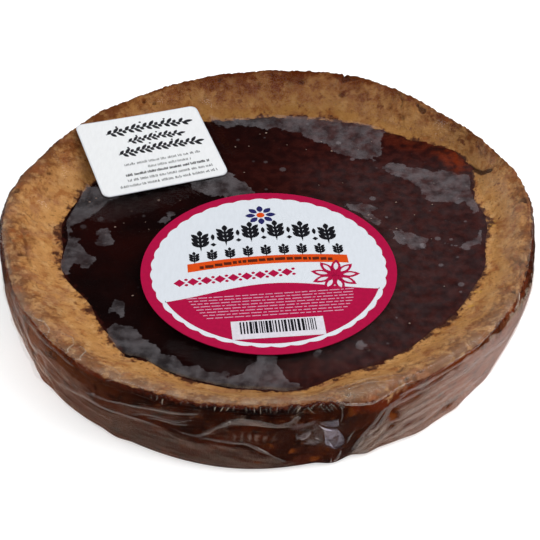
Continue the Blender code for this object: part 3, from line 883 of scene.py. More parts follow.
# Grey patches where the film has come off the jam, partly milky film and partly painted reflection:
# outlines in mm, seen from above
PATCHES = (
    ((-22, 60), (-8, 61.5), (2, 60.5), (12, 57.5), (20, 52), (25, 46), (32, 42), (38, 41), (41, 45),
        (42, 52), (44, 58), (36, 74), (-22, 76)),
    ((39, 37), (44, 40), (50, 38), (60, 35), (70, 31), (80, 26), (78, 8), (71, 9), (69, 14), (63, 16),
        (57, 17), (54, 23), (50, 29), (43, 34)),
    ((27, 15), (33, 16), (38, 13), (36, 10), (39, 5), (37, 2), (33, 8), (28, 12)),
    ((41, 1), (46, 0.5), (51, -1.5), (54, -3), (53, -8), (48, -9), (44, -6)),
    ((60, -6), (64, -8), (69, -5), (72, -1), (76, 3), (76, -8), (66, -10)),
    ((-67, 24), (-60, 19), (-53, 15), (-57, 11), (-61, 8), (-65.6, 4), (-68, 1), (-67, -3), (-64, -5),
        (-62, -9.5), (-60.5, -12), (-57, -14.5), (-59.3, -17), (-60.4, -21), (-62, -18.6), (-64.5, -18.4),
        (-65.1, -22.4), (-68, -26), (-76, -15), (-78, 14)),
    ((-59, -3), (-58.4, 0), (-56.8, 1.2), (-55, 1.6), (-53.4, -0.6), (-52.5, -4.3), (-52.8, -7.6),
        (-54.6, -8.2), (-56.8, -7), (-58.4, -5.2)),
    ((-50, -35), (-47, -37), (-45, -41), (-47, -44), (-50, -41)),
    ((-49, -46), (-42, -49), (-38, -54), (-32, -60), (-26, -65), (-20, -67), (-12, -69), (-12, -80),
        (-40, -74), (-56, -56)),
    ((-1, -60), (2, -60), (3, -66), (7, -72), (14, -75), (14, -84), (-20, -84), (-16, -72), (-5, -67)),
    ((26, -58), (28, -56), (30, -57), (28, -59.5)),
    ((13, -62), (15, -60.5), (17, -62), (15, -64)),
    ((-28, 25), (-22, 28), (-15, 31), (-10, 29), (-6, 25), (-5, 21), (-10, 19), (-20, 20), (-26, 21)),
    ((-35, 11), (-32, 10), (-36, 3), (-38, 5)),
)

# How far the patches and the fine ripple stand, how sharply the jam's edge cuts the patches off, how far
# past it they run at the back and at the front, and how milky they are
PATCH_RAISE = 0.00025
TOP_RIPPLE = 0.00010
PATCH_CUT = 4000.0
PATCH_OVERRUN = -0.0014, 0.0018
PATCH_VEIL = 0.075

# Milky fields of the film on the wall: strength, then outline as azimuth in degrees and height in mm
WALL_FIELDS = (
    (0.058, ((-137, 13), (-132, 14), (-129, 15), (-124, 15.5), (-117, 16), (-112, 16.5), (-109.7, 14.6),
        (-105.4, 13), (-101.5, 12.6), (-98.3, 12), (-95.1, 11.2), (-92.5, 9.4), (-88.8, 7.6), (-86, 6),
        (-83.5, 2), (-82.5, -3), (-158, -3), (-158, 6), (-150, 8), (-141, 9))),
    (0.035, ((-124, 17), (-114, 22.7), (-110.5, 23.5), (-103, 24.5), (-103, 23), (-107, 21.8),
        (-104.2, 21), (-109.6, 19.6), (-112, 19.5), (-117, 17.8))),
    (0.085, ((-101.6, 17.4), (-98.7, 21), (-96.9, 23.4), (-94.8, 24), (-91.4, 23.8), (-88.1, 23.2),
        (-85.7, 23.6), (-84.3, 26), (-83.6, 25.5), (-84.8, 22.4), (-87.9, 21.3), (-91.2, 21.8),
        (-94.3, 22.2), (-97, 21), (-99.4, 18.2), (-101, 15.8))),
    (0.14, ((-73.4, -3), (-73.2, 1), (-72.2, 5), (-71, 9), (-69.5, 11.7), (-67.2, 14.4), (-64.8, 16.1),
        (-62.2, 18.3), (-60, 20), (-56.9, 22.4), (-50.7, 24), (-44, 25.2), (-36, 25.8), (-28, 26),
        (-20, 26), (-12, 24), (2, 19), (12, 11), (20, 4), (24, -3))),
    (0.05, ((-66, 21), (-63, 21.5), (-58, 23.5), (-58, 21.6), (-62.2, 18.3), (-64.8, 16.1),
        (-68.4, 18.6))),
    (0.03, ((-84.1, 20.7), (-81.5, 21.9), (-78.7, 21.6), (-76.3, 19.1), (-75.8, 13.2), (-76.9, 10.1),
        (-79.4, 10.6), (-81.9, 12.7), (-83.6, 15.7))),
    (0.07, ((-160, 14), (-160, 26), (-150, 28), (-138, 25), (-126, 21), (-124, 14.5), (-135, 13),
        (-148, 12))),
    (0.17, ((-166, 4), (-166, 22), (-157, 25), (-152, 25), (-148, 22), (-144, 18.5), (-138, 15.5),
        (-134, 13), (-140, 9), (-150, 5))),
    (0.08, ((16, 12), (26, 15), (40, 17), (62, 10), (84, 13), (100, 8), (108, -3), (22, -3), (18, 6))),
    (0.1, ((112, 6), (128, 12), (140, 9), (156, 14), (170, 10), (170, -3), (112, -3))),
)
FIELD_HOLES = (
    (-64.6, 14.4, 2, 4), (-50, 7.2, 0.9, 0.9), (-42.8, 3.2, 0.9, 0.9), (-51.6, 7.4, 0.6, 0.5),
    (-61, 9, 1.6, 0.7), (-57.5, 8.6, 1.2, 0.6),
)

# Drift of the film's fine streaks on the wall: azimuth in degrees and height in mm of one streak
STREAK_ROUTE = (
    (-180, 30), (-160, 30), (-149, 26), (-140, 15), (-128, 13.5), (-117, 14), (-101, 13), (-85, 8),
    (-76, 4), (-71, 10), (-66, 14.5), (-58, 17.5), (-40, 18), (0, 16), (60, 18), (120, 14), (180, 30),
)


# Painted light on the folded film at the right, which looks pinker and paler there: azimuth and half width
# in degrees, strength, then its gain
LIT_FILM = ((-38, 34, 1.0),)
LIT_GAIN = 0.7

# Share of light that the film mirrors: square on, at a grazing angle, on creases, and what the wall keeps
MIRROR_LEAST, MIRROR_GRAZING = 0.009, 0.032
CREASE_MIRROR = 0.035
WALL_MIRROR = 0.14

# Half width in mm of the soft edge of the fields on the wall
FIELD_FADE = 1.1

# Small blisters over the jam, whose milky dots are partly painted highlights: how many to a metre, greatest
# size as a share of their spacing, milkiness
BLISTERS_PER_METRE, BLISTER_SHARE, BLISTER_VEIL = 190.0, 0.25, 0.10


def inside_outline(x, y, outline):
    """Distance inside an outline, less than nought outside it."""
    nearest = np.full_like(x, np.inf)
    within = np.zeros(x.shape, dtype=bool)
    for start, end in zip(outline, outline[1:] + outline[:1]):
        run = end[0] - start[0]
        rise = end[1] - start[1]
        share = ((x - start[0]) * run + (y - start[1]) * rise) / (run * run + rise * rise)
        share = np.clip(share, 0.0, 1.0)
        away = np.hypot(x - start[0] - share * run, y - start[1] - share * rise)
        nearest = np.minimum(nearest, away)
        if rise:
            within ^= ((start[1] > y) != (end[1] > y)) & (x < start[0] + run * (y - start[1]) / rise)
    return np.where(within, nearest, -nearest)


def rib_heights(turn, points, heights, table):
    """How far the upright ribs of shrunken film stand out."""
    out = np.zeros(heights.shape)
    wander = 0.8 * noise_at(points, 0.006, SEEDS["ribs"])
    for azimuth, half_width, level, reach, spacing, depth in table:
        away = away_from(turn, azimuth)
        hold = 1.0 - ease(np.abs(away) / half_width)
        hold = hold * (1.0 - ease(np.abs(heights * 1000.0 - level) / reach))
        out += depth * hold * np.cos(math.pi * away / spacing + wander) ** 2
    return out


def wall_folds(turn, points, heights, on_wall):
    """How far folds, ribs and slow wrinkles stand out from the taut film."""
    out = np.zeros(heights.shape)
    for width, height, route in FOLDS:
        out = np.maximum(out, height * ridge(turn, heights, route, width))
    out += rib_heights(turn, points, heights, RIBS)
    long_waves = noise_at(points * LONG_WAVE_STRETCH, LONG_WAVE_SIZE, SEEDS["long_waves"])
    return out + LONG_WAVE_HEIGHT * on_wall * np.clip(1.0 - 3.0 * np.abs(long_waves), 0.0, 1.0)


def film_surface(turn, place, extra=0.0):
    """Points of the film over the wall and rim, at an extra distance out from it."""
    radius, height = profile_at(turn, place)
    outward, upward, _ = outward_at(turn, place)
    smooth = ring_points(turn, radius, height)
    stand = FILM_LIFT + pleats_at(turn, place, height) - slow_relief(smooth, place)
    stand = stand + wall_folds(turn, smooth, height, below_rim(place)) * ease(height / BASE_EDGE) + extra
    radius = radius + outward * stand
    height = np.maximum(height + upward * stand, FILM_MARGIN)
    level = JAM_LEVEL + FILM_LIFT + FILM_BRIDGE + extra
    height = np.where(place > 2.0, np.maximum(height, level), height)
    return ring_points(turn, radius, height)


def streak_axes(turn, height):
    """Millimetres along and across the drift of the film's fine streaks."""
    azimuth = away_from(turn, 0.0)
    azimuths, levels = np.array(STREAK_ROUTE).T
    return azimuth * ARC, 1000.0 * height - np.interp(azimuth, azimuths, levels)


def film_rows(turn, places):
    """Rings of the film before it is tented: over wall and rim, then in over the jam to its middle."""
    around = turn[0]
    inner = []
    for share in np.linspace(1.0, 0.0, FILM_JAM_ROWS + 1)[1:-1]:
        away = jam_edge(around) * (1.0 - share)
        level = JAM_LEVEL + FILM_LIFT + FILM_BRIDGE * (1.0 - ease(away / FILM_BRIDGE_WIDTH))
        inner.append(ring_points(around, jam_edge(around) * share, level))
    return np.concatenate([film_surface(turn, places), inner])


def level_on_wall(places):
    """Height in mm above the table that a place on the profile stands for in the tables of the wall."""
    level = 1000.0 * (BASE_EDGE + np.clip(places, 0.0, 1.0) * (WALL_TOP - BASE_EDGE))
    return level + 4.0 * np.clip(places - 1.0, 0.0, 1.0) - 3.0 * np.clip(-places, 0.0, 1.0)


def wall_milk(turn, level, on_wall):
    """Distance in mm inside the wall's milky fields, and how milky each point's own field or patch is."""
    across = away_from(turn, 0.0) * ARC
    strength = np.full(turn.shape, PATCH_VEIL)
    field = np.full(turn.shape, -np.inf)
    lit = 1.0 + LIT_GAIN * swells(turn, LIT_FILM)
    for milk, outline in WALL_FIELDS:
        outline = tuple((azimuth * ARC, height) for azimuth, height in outline)
        inside = inside_outline(across, level, outline)
        strength = np.where(on_wall & (inside > field), milk * lit, strength)
        field = np.maximum(field, inside)
    for azimuth, height, half_width, half_height in FIELD_HOLES:
        hole = np.hypot(away_from(turn, azimuth) * ARC / half_width, (level - height) / half_height) - 1.0
        field = np.minimum(field, hole * half_width)
    return field, strength


def veil_at(turn, places, x, y, over_jam, above_lip):
    """Milkiness of the film away from its patches and fields over the rim, and painted sheen over the right
    of the jam.
    """
    on_top = ease(above_lip / 0.12)
    veil = VEIL_EVERYWHERE * on_top
    for azimuth, half_width, place, reach, milk in VEILS:
        window = (1.0 - ease(np.abs(places - place) / reach)) * on_top
        veil += window * swells(turn, ((azimuth, half_width, milk),))
    near_rim = ease(over_jam / 0.004 + 1.0) * ease((0.050 - y) / 0.020)
    return veil + SHEEN_OVER_JAM_RIGHT * ease(x / SHEEN_OVER_JAM_RUN) * near_rim


def make_film():
    """Clear film, drawn tight over the top and folded on the wall, tucked under at the foot."""
    turn, places = np.meshgrid(turn_of(FILM_COLUMNS), row_places(FILM_ROWS))
    rows = film_rows(turn, places)
    over_dish = np.full((len(rows) - len(places), FILM_COLUMNS), 3.0)
    places = np.concatenate([places, over_dish])
    turn = np.broadcast_to(turn[0], places.shape)
    x, y = rows[:, :, 0].copy(), rows[:, :, 1].copy()
    patch = np.full(x.shape, -np.inf)
    for outline in PATCHES:
        patch = np.maximum(patch, inside_outline(1000.0 * x, 1000.0 * y, outline))
    over_jam = jam_edge(turn) - np.hypot(x, y)
    overrun = PATCH_OVERRUN[0] + (PATCH_OVERRUN[1] - PATCH_OVERRUN[0]) * ease(-y / 0.03)
    patch = np.minimum(patch, PATCH_CUT * (over_jam + overrun))
    top = slice(len(row_places(FILM_ROWS)) - FILM_ROWS["slope"] - 1, None)
    rows[top, :, 2] += PATCH_RAISE * ease(patch[top] / 1.5)
    rows[top, :, 2] += TOP_RIPPLE * noise_at(rows[top], 0.010, SEEDS["ripple"])
    below = STICKER_GAP + 0.5 * FILM_THICKNESS
    rows[top, :, 2] = tented(x[top], y[top], rows[top, :, 2], below)
    middle = float(tented(np.array(0.0), np.array(0.0), np.array(JAM_LEVEL + FILM_LIFT), below))
    film = turned_mesh("film", rows, last_centre=(0.0, 0.0, middle))
    above_lip = places - lip_place(turn)
    on_wall = above_lip < 0.0
    level = level_on_wall(places)
    field, strength = wall_milk(turn, level, on_wall)
    veil = veil_at(turn, places, x, y, over_jam, above_lip)
    # Painted light on the crests of the ribs
    ribs = rib_heights(turn, rows, rows[:, :, 2], RIBS[:1]) / RIBS[0][-1]
    veil += RIB_CREST_SHEEN * ribs ** 3
    along, drift = streak_axes(turn, 0.001 * level)
    mark(film, "veil", veil)
    mark(film, "patch", np.where(on_wall, field, patch))
    mark(film, "patch_veil", strength)
    mark(film, "profile", places, rest=3.0)
    mark(film, "along", along)
    mark(film, "drift", drift)
    mark(film, "bright", swells(turn, LIT_FILM))
    right = 0.35 + 0.65 * ease((x + 0.02) / 0.05)
    mark(film, "blisters", np.where(over_jam > 0.001, right, 0.0))
    film.data.materials.append(film_material(
        "clear_film", MIRROR_LEAST, WALL_MIRROR, tint(226, 190, 168), tint(238, 206, 196)))
    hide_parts("wrap")
    make_creases(film_material(
        "creased_film", CREASE_MIRROR, 1.0, tint(246, 222, 204), tint(246, 222, 214)))
    make_gather(film_material(
        "gathered_film", MIRROR_LEAST, 1.0, tint(226, 210, 212), tint(208, 200, 220)))


# Sharp creases of the film, whose milky crests are partly painted glints: width and height in mm,
# milkiness, then azimuth in degrees and place
CREASES = (
    (0.9, 0.4, 0.24, ((-79.5, 1.98), (-77.8, 1.92), (-76.8, 1.62), (-75.2, 1.34), (-72.5, 1.16),
        (-70, 1.06), (-66.5, 1.28), (-64, 1.36), (-60.5, 1.42))),
    (0.8, 0.3, 0.21, ((-77, 2.2), (-75.5, 2.27), (-72.2, 2.29), (-68.2, 2.26), (-64, 2.12),
        (-61.8, 1.98))),
    (0.7, 0.25, 0.17, ((-76, 2.08), (-73.5, 2.14), (-70.2, 2.12), (-67, 2.02), (-64.4, 1.86))),
    (0.5, 0.03, 0.12, ((-78.2, 1.74), (-77.2, 1.56), (-76.4, 1.34), (-76, 1.14), (-76, 0.98),
        (-76.2, 0.84))),
    (0.6, 0.05, 0.1, ((-76.9, 0.1), (-76.9, -0.02), (-76.6, -0.14), (-76.4, -0.22))),
    (0.9, 0.3, 0.16, ((-75.2, 0.22), (-75.6, 0.1), (-76, -0.02), (-76.3, -0.14))),
    (0.8, 0.3, 0.16, ((-72.8, 0.54), (-73.3, 0.5), (-73.8, 0.42), (-74, 0.32))),
    (1.1, 0.3, 0.12, ((-149, 1.05), (-146.8, 0.95), (-142.9, 0.82), (-139.6, 0.55), (-137.8, 0.38))),
    (1.3, 0.35, 0.11, ((-153.6, 1.15), (-148.5, 1.06), (-144.8, 0.95), (-139.9, 0.8), (-137.6, 0.6),
        (-134, 0.44))),
    (1.1, 0.25, 0.1, ((-157, 1), (-152, 0.84), (-148, 0.66), (-144, 0.4), (-141, 0.22))),
    (1.2, 0.3, 0.11, ((-137.1, 0.52), (-132.1, 0.54), (-129, 0.6), (-124.1, 0.62), (-117.1, 0.62),
        (-110, 0.58))),
    (1.1, 0.25, 0.1, ((-126, 0.78), (-119, 0.86), (-112, 0.92), (-107.5, 0.93), (-103.2, 0.96))),
    (0.9, 0.25, 0.09, ((-116, 0.7), (-112.7, 0.76), (-109.6, 0.78), (-106.6, 0.78), (-104.2, 0.86))),
    (0.9, 0.25, 0.09, ((-113, 0.7), (-110.4, 0.72), (-107.3, 0.7), (-104.9, 0.76))),
    (1.2, 0.35, 0.09, ((-103, 0.56), (-101.6, 0.66), (-98.7, 0.85), (-96.9, 0.95), (-94.8, 0.985),
        (-91.4, 0.97), (-88.1, 0.93), (-85.7, 0.96), (-84, 1.08))),
    (0.9, 0.3, 0.08, ((-106, 0.56), (-101.5, 0.55), (-98.3, 0.53), (-93.1, 0.5), (-91, 0.4), (-88.8, 0.3),
        (-85.6, 0.12))),
    (2, 0.35, 0.09, ((-72.4, 0.02), (-70.6, 0.3), (-67.6, 0.52), (-65.3, 0.78), (-59, 0.9), (-51, 0.98))),
    (2, 0.3, 0.07, ((-71.6, 0.05), (-69.1, 0.24), (-66, 0.4), (-62.2, 0.49), (-57.6, 0.56), (-50, 0.62))),
    (2.2, 0.3, 0.07, ((-71, -0.05), (-67.6, 0.14), (-64.1, 0.27), (-58.6, 0.39), (-52, 0.44),
        (-44, 0.47))),
    (1.6, 0.3, 0.09, ((-72.6, 0.12), (-71, 0.36), (-69, 0.58), (-67, 0.8), (-62, 0.97), (-56, 1.06))),
    (2.2, 0.25, 0.06, ((-66, 0.08), (-60, 0.17), (-54, 0.25), (-46, 0.31), (-38, 0.33))),
    (2.2, 0.25, 0.07, ((-58, 0.72), (-52, 0.8), (-46, 0.84), (-38, 0.86), (-30, 0.84))),
    (1, 0.25, 0.16, ((-64, 0.96), (-58, 1.04), (-52, 1.1), (-45, 1.14))),
    (1.1, 0.45, 0.35, ((-31, 1.5), (-28.5, 1.65), (-26.5, 1.8), (-25.5, 1.95))),
    (1.2, 0.25, 0.12, ((-156, 1.2), (-150.5, 1.02), (-145.6, 0.86), (-139.6, 0.84), (-134, 0.78))),
    (1.1, 0.25, 0.1, ((-154, 1.02), (-149, 0.72), (-144.5, 0.52), (-139, 0.34), (-135, 0.24))),
    (1.1, 0.25, 0.11, ((-155, 1.32), (-147.6, 1.34), (-141.6, 1.4), (-135.5, 1.42), (-129.8, 1.36))),
    (1, 0.2, 0.09, ((-151, 0.8), (-148.6, 0.44), (-144.4, 0.26), (-138.6, 0.14))),
    (0.8, 0.25, 0.34, ((-147, 1.62), (-145.5, 1.8), (-143.2, 2.04), (-139.8, 2.02), (-138.8, 1.66))),
    (0.8, 0.25, 0.38, ((-138.5, 2.13), (-136, 2.27), (-133.8, 2.18), (-132.5, 1.82), (-133, 1.66))),
    (0.8, 0.25, 0.38, ((-132.2, 2.08), (-132.6, 2.26), (-130.5, 2.24), (-129, 1.88), (-130.6, 1.7))),
    (0.7, 0.2, 0.17, ((-126, 2.15), (-123.5, 2.23), (-120.5, 2.1), (-119, 1.9))),
    (0.7, 0.2, 0.14, ((-122, 1.5), (-120, 1.8), (-117, 1.95), (-114, 1.85))),
    (0.7, 0.15, 0.13, ((-172, 1.4), (-170, 1.7), (-166, 1.85), (-160, 1.7))),
    (0.7, 0.15, 0.13, ((-182, 1.35), (-180, 1.55), (-176, 1.6), (-171, 1.45))),
)

# Rows of short upright creases, whose milk under the lip at the front is painted glints: first and last
# azimuth, place at the foot and top, how many, slant, width, milkiness
CREASE_ROWS = (
    (-112.4, -109.6, 1.08, 1.62, 4, 0.2, 0.34, 0.40),
    (-107.0, -101.5, 1.35, 1.62, 4, 0.2, 0.34, 0.35),
    (-99.6, -96.6, 1.22, 1.72, 4, 0.3, 0.34, 0.40),
    (-93.4, -90.6, 1.22, 1.74, 4, -0.3, 0.34, 0.40),
    (-88.8, -87.8, 1.30, 1.76, 2, 0.3, 0.34, 0.40),
    (-86.0, -81.0, 1.26, 1.74, 6, 1.2, 0.32, 0.36),
    (-82.0, -75.5, 1.10, 1.62, 7, -1.4, 0.32, 0.36),
    (-166, -204, 0.30, 0.55, 4, 3.0, 0.60, 0.12),
    (150, 20, 0.45, 0.85, 26, 3.4, 0.60, 0.14),
    (20, -20, 0.30, 0.75, 5, 3.0, 1.00, 0.20),
)
CREASE_LIFT = 0.00003

# Section of a crease: shares of its half width, and how high and how milky it is at each, the milk partly
# painted glint
CREASE_SHARES = np.array([-1.0, -0.5, 0.0, 0.5, 1.0])
CREASE_RISES = np.array([-0.12, 0.55, 1.0, 0.55, -0.12])
CREASE_MILK_AND_GLINT = np.array([0.0, 0.45, 1.0, 0.45, 0.0])

# Creases along the lip, whose milk is a painted highlight of the film over the edge: first and last
# azimuth, how far above it, width, height, milkiness
LIP_CREASES = (
    (-158, -128, 0.02, 0.6, 0.15, 0.16), (-60, -30, 0.05, 0.5, 0.15, 0.1),
    (-24, 26, 0.03, 0.9, 0.15, 0.18), (170, 30, 0.02, 0.5, 0.15, 0.08),
)


def smooth_route(route, steps):
    """Points along a route, rounded at its corners."""
    route = np.array(route, dtype=float)
    share = np.linspace(0.0, len(route) - 1.0, steps)
    knots = np.arange(len(route))
    line = np.stack([np.interp(share, knots, route[:, part]) for part in (0, 1)], axis=-1)
    for _ in range(3):
        line[1:-1] = 0.25 * line[:-2] + 0.5 * line[1:-1] + 0.25 * line[2:]
    return line


def strip_faces(start, rows, columns):
    """Quads between the points of a grid, whose rows follow one another from a start."""
    corners = [start + row * columns + column for row in range(rows - 1) for column in range(columns - 1)]
    return [(a, a + columns, a + columns + 1, a + 1) for a in corners]


def drawn_creases():
    """Creases along the lip and in rows, with random unevenness, after those of the table."""
    draw = np.random.default_rng(5)
    creases = list(CREASES)
    for first, last, above, width, height, milk in LIP_CREASES:
        azimuths = np.arange(first, last, 3.0 if last > first else -3.0)
        places = lip_place(np.radians(azimuths)) + above + 0.03 * draw.standard_normal(len(azimuths))
        creases.append((width, height, milk, tuple(zip(azimuths, places))))
    for first, last, foot, top, count, slant, width, milk in CREASE_ROWS:
        for share in np.linspace(0.0, 1.0, count):
            azimuth = first + (last - first) * share + draw.uniform(-0.8, 0.8)
            low = foot + 0.4 * (top - foot) * draw.uniform()
            high = low + (top - low) * draw.uniform(0.7, 1.0)
            lean = slant + draw.uniform(-0.4, 0.4)
            size = draw.uniform(0.6, 1.3)
            route = ((azimuth, low), (azimuth + 0.4 * lean, 0.5 * (low + high)), (azimuth + lean, high))
            creases.append((width * size, 0.12 * size, milk * draw.uniform(0.5, 1.3), route))
    return creases


def make_creases(material):
    """Sharp narrow creases that stand on the film, each running out to nothing at its ends."""
    points = []
    milks = []
    grades = []
    faces = []
    for width, height, milk, route in drawn_creases():
        middle = smooth_route(route, max(9, int(12 * len(route))))
        _, _, speed = outward_at(np.radians(middle[:, 0]), middle[:, 1])
        speed = 1000.0 * speed
        run = np.gradient(middle[:, 0]) * ARC
        rise = np.gradient(middle[:, 1]) * speed
        size = np.hypot(run, rise)
        taper = np.sin(math.pi * np.linspace(0.0, 1.0, len(middle))) ** 0.6
        half = 0.5 * width * (0.35 + 0.65 * taper)
        azimuth = middle[:, 0, None] - (rise / size * half / ARC)[:, None] * CREASE_SHARES
        place = middle[:, 1, None] + (run / size * half / speed)[:, None] * CREASE_SHARES
        lift = 0.001 * height * taper[:, None] * CREASE_RISES + CREASE_LIFT
        faces += strip_faces(len(points), *place.shape)
        points += film_surface(np.radians(azimuth), place, lift).reshape(-1, 3).tolist()
        milks += (milk * taper[:, None] * CREASE_MILK_AND_GLINT).reshape(-1).tolist()
        grades += place.reshape(-1).tolist()
    creases = new_piece("film_creases", points, faces)
    mark(creases, "veil", milks)
    mark(creases, "patch", np.full(len(points), OUTSIDE))
    mark(creases, "profile", grades)
    creases.data.materials.append(material)


# The gathered end of the film: azimuth in degrees and height in mm of its middle, its squatness, and metres
# for one unit of stand
GATHER_PLACE = (-79.9, 16.9)
GATHER_RISE = 0.82
GATHER_STAND = 0.0005

# East of this many metres the gather's facets are lilac, and west of it they are pinkish
GATHER_LILAC = 0.0165

# Its facets: milkiness, stand, then outline in mm across and up from the middle
GATHER_FACETS = (
    (0.15, 2, ((0.8, 2.2), (4.8, 2), (5.2, -1.4), (3.2, -3.4), (1.7, -2.7))),
    (0.12, 2.2, ((4.8, 2), (6.7, -1.6), (7.4, -5.6), (5.6, -6), (5.2, -1.4))),
    (0.16, 1.4, ((1.7, -2.7), (3.2, -3.4), (4.6, -8.4), (2.3, -6.9))),
    (0.09, 1.7, ((3.2, -3.4), (5.2, -1.4), (5.6, -6), (4.9, -8.2))),
    (0.11, 1.2, ((5.6, -6), (7.4, -5.6), (7.4, -8.6), (4.9, -8.4))),
    (0.06, 1.6, ((-0.3, 5), (0.6, 5.3), (4.8, 6.9), (5.4, 3.6), (3.9, 2.5), (0.8, 3.4))),
    (0.08, 1.2, ((-2.7, 2), (-2.9, -0.4), (-3.9, -2.2), (-5.5, -2.5), (-7, -0.6))),
    (0.05, 0.9, ((-3.4, -2.4), (-1.1, -3.4), (0.2, -5.2), (-1.1, -6.1), (-3.6, -5))),
    (0.03, 0.6, ((-9.7, 6.6), (-6.1, 7.9), (-1.9, 6.4), (-1.6, 5.2), (-5, 3.4), (-8.6, 3.5))),
    (0.02, 0.5, ((-1.6, 4.4), (0.4, 3.4), (0.6, 1.8), (-2.2, 2.2))),
    (0.02, 0.6, ((0.6, 1.4), (1.2, -4.6), (-0.4, -3.2), (-1.6, -1))),
)

# Its ridges, milky as painted glints: width in mm, milkiness, stand, then points in mm across and up from
# the middle
GATHER_RIDGES = (
    (0.85, 0.62, 2.3, ((-0.9, 5), (0.8, 3.1), (2.4, 2.3), (4.4, 1.9))),
    (0.35, 0.34, 2, ((0.7, 5.2), (2.2, 5.8), (4.9, 6.9))),
    (0.3, 0.26, 1.9, ((1.2, 4.3), (3.2, 4.8), (5.3, 5.4))),
    (0.3, 0.24, 1.9, ((1, 3.7), (3.4, 3.9), (5.4, 3.9))),
    (0.55, 0.5, 1.8, ((2.6, -3.4), (3.6, -6.2), (4.9, -8.3))),
    (0.35, 0.14, 2.2, ((4.8, 2), (6.7, -1.6), (7.5, -5.6), (7.4, -8.7))),
    (0.35, 0.3, 1.4, ((7.4, -8.7), (4.9, -8.5), (2.3, -7))),
    (0.3, 0.26, 1.9, ((1, 1.9), (1.8, -2.6), (2.2, -6.6))),
    (0.5, 0.36, 1.5, ((-2.6, 1.9), (-3.6, -0.2), (-5.2, -1.6))),
    (0.45, 0.3, 1.2, ((-4.6, -3.2), (-3.9, -3.9), (-3.2, -4.4))),
    (0.55, 0.55, 1.5, ((-1.7, -1.4), (-0.8, -2.2), (0.4, -3.2))),
    (0.3, 0.24, 1, ((-3.6, -5), (-1.2, -6.2), (0.3, -5.2), (-0.6, -3.6))),
    (0.35, 0.2, 0.9, ((-7, 1.6), (-6.8, -0.4), (-6.6, -2.2))),
    (0.3, 0.16, 0.7, ((-9.4, 4.4), (-6.4, 5.6), (-3.2, 5.6), (-1.2, 5))),
    (0.3, 0.14, 0.7, ((-9, 3.2), (-5.4, 3.2), (-2.4, 2.2))),
    (0.25, 0.16, 0.8, ((-2.4, 4.4), (-1.4, 1.8), (-1.8, -0.6))),
    (0.4, 0.34, 0.6, ((-5.8, 25.1), (-6.9, 23.5), (-8.6, 21.2))),
)


def gather_points(flat, stand):
    """Places in space of points given across and up the gather in mm, at a stand out from the film."""
    azimuth = np.radians(GATHER_PLACE[0] + flat[..., 0] / ARC)
    level = GATHER_PLACE[1] + GATHER_RISE * flat[..., 1]
    place = (0.001 * level - BASE_EDGE) / (WALL_TOP - BASE_EDGE)
    return film_surface(azimuth, place, GATHER_STAND * stand)


def make_gather(material):
    """Crumpled knot of film on the front of the wall: flat facets that meet in ridges with painted glints.
    """
    points = []
    milks = []
    faces = []
    for milk, stand, outline in GATHER_FACETS:
        outline = np.array(outline)
        flat = np.concatenate([outline, [outline.mean(axis=0)]])
        heights = np.full(len(flat), 0.25 * stand)
        heights[-1] = stand
        grades = milk * (1.0 + 0.5 * np.cos(2.4 * np.arange(len(flat))))
        for index in range(len(outline)):
            corners = [index, (index + 1) % len(outline), len(outline)]
            faces.append(tuple(range(len(points), len(points) + 3)))
            points += gather_points(flat[corners], heights[corners]).tolist()
            milks += grades[corners].tolist()
    for width, milk, stand, route in GATHER_RIDGES:
        line = smooth_route(route, 6 * len(route))
        run = np.gradient(line, axis=0)
        aside = np.stack([-run[:, 1], run[:, 0]], axis=-1) / np.linalg.norm(run, axis=1)[:, None]
        taper = np.sin(math.pi * np.linspace(0.04, 0.96, len(line))) ** 0.7
        half = (0.5 * width * taper)[:, None]
        faces += [face[::-1] for face in strip_faces(len(points), 3, len(line))]
        for side, rise, clear in ((-1.0, -0.25, 0.0), (0.0, 0.10, 1.0), (1.0, -0.25, 0.0)):
            points += gather_points(line + side * half * aside, stand + rise * taper).tolist()
            milks += (milk * clear * taper).tolist()
    gather = new_piece("film_gather", points, faces)
    gather.data.shade_flat()
    mark(gather, "veil", milks)
    mark(gather, "patch", np.full(len(points), OUTSIDE))
    mark(gather, "bright", np.array(points)[:, 0] > GATHER_LILAC)
    gather.data.materials.append(material)


# Colours of the milky film on a screen: over the dough and over the jam
HAZE_ON_DOUGH, HAZE_ON_JAM = (226, 204, 180), (222, 216, 222)

# Scale of the wall's streaks along and across their drift, for each mm
STREAKS_ALONG, STREAKS_ACROSS = 0.07, 0.85


def blisters_in(tree):
    """Small round blisters, where the film's own mark lets them show."""
    here = add_node(tree, "TexCoord").outputs["Object"]
    cells = add_node(tree, "TexVoronoi", {"Vector": here, "Scale": BLISTERS_PER_METRE})
    chance = add_node(tree, "SeparateColor", {0: cells.outputs["Color"]}).outputs[0]
    size = span(tree, chance, 0.45, 1.0, 0.0, BLISTER_SHARE)
    blister = maths(tree, "SUBTRACT", size, cells.outputs["Distance"])
    return maths(tree, "MULTIPLY", span(tree, blister, -0.02, 0.05), read(tree, "blisters"))

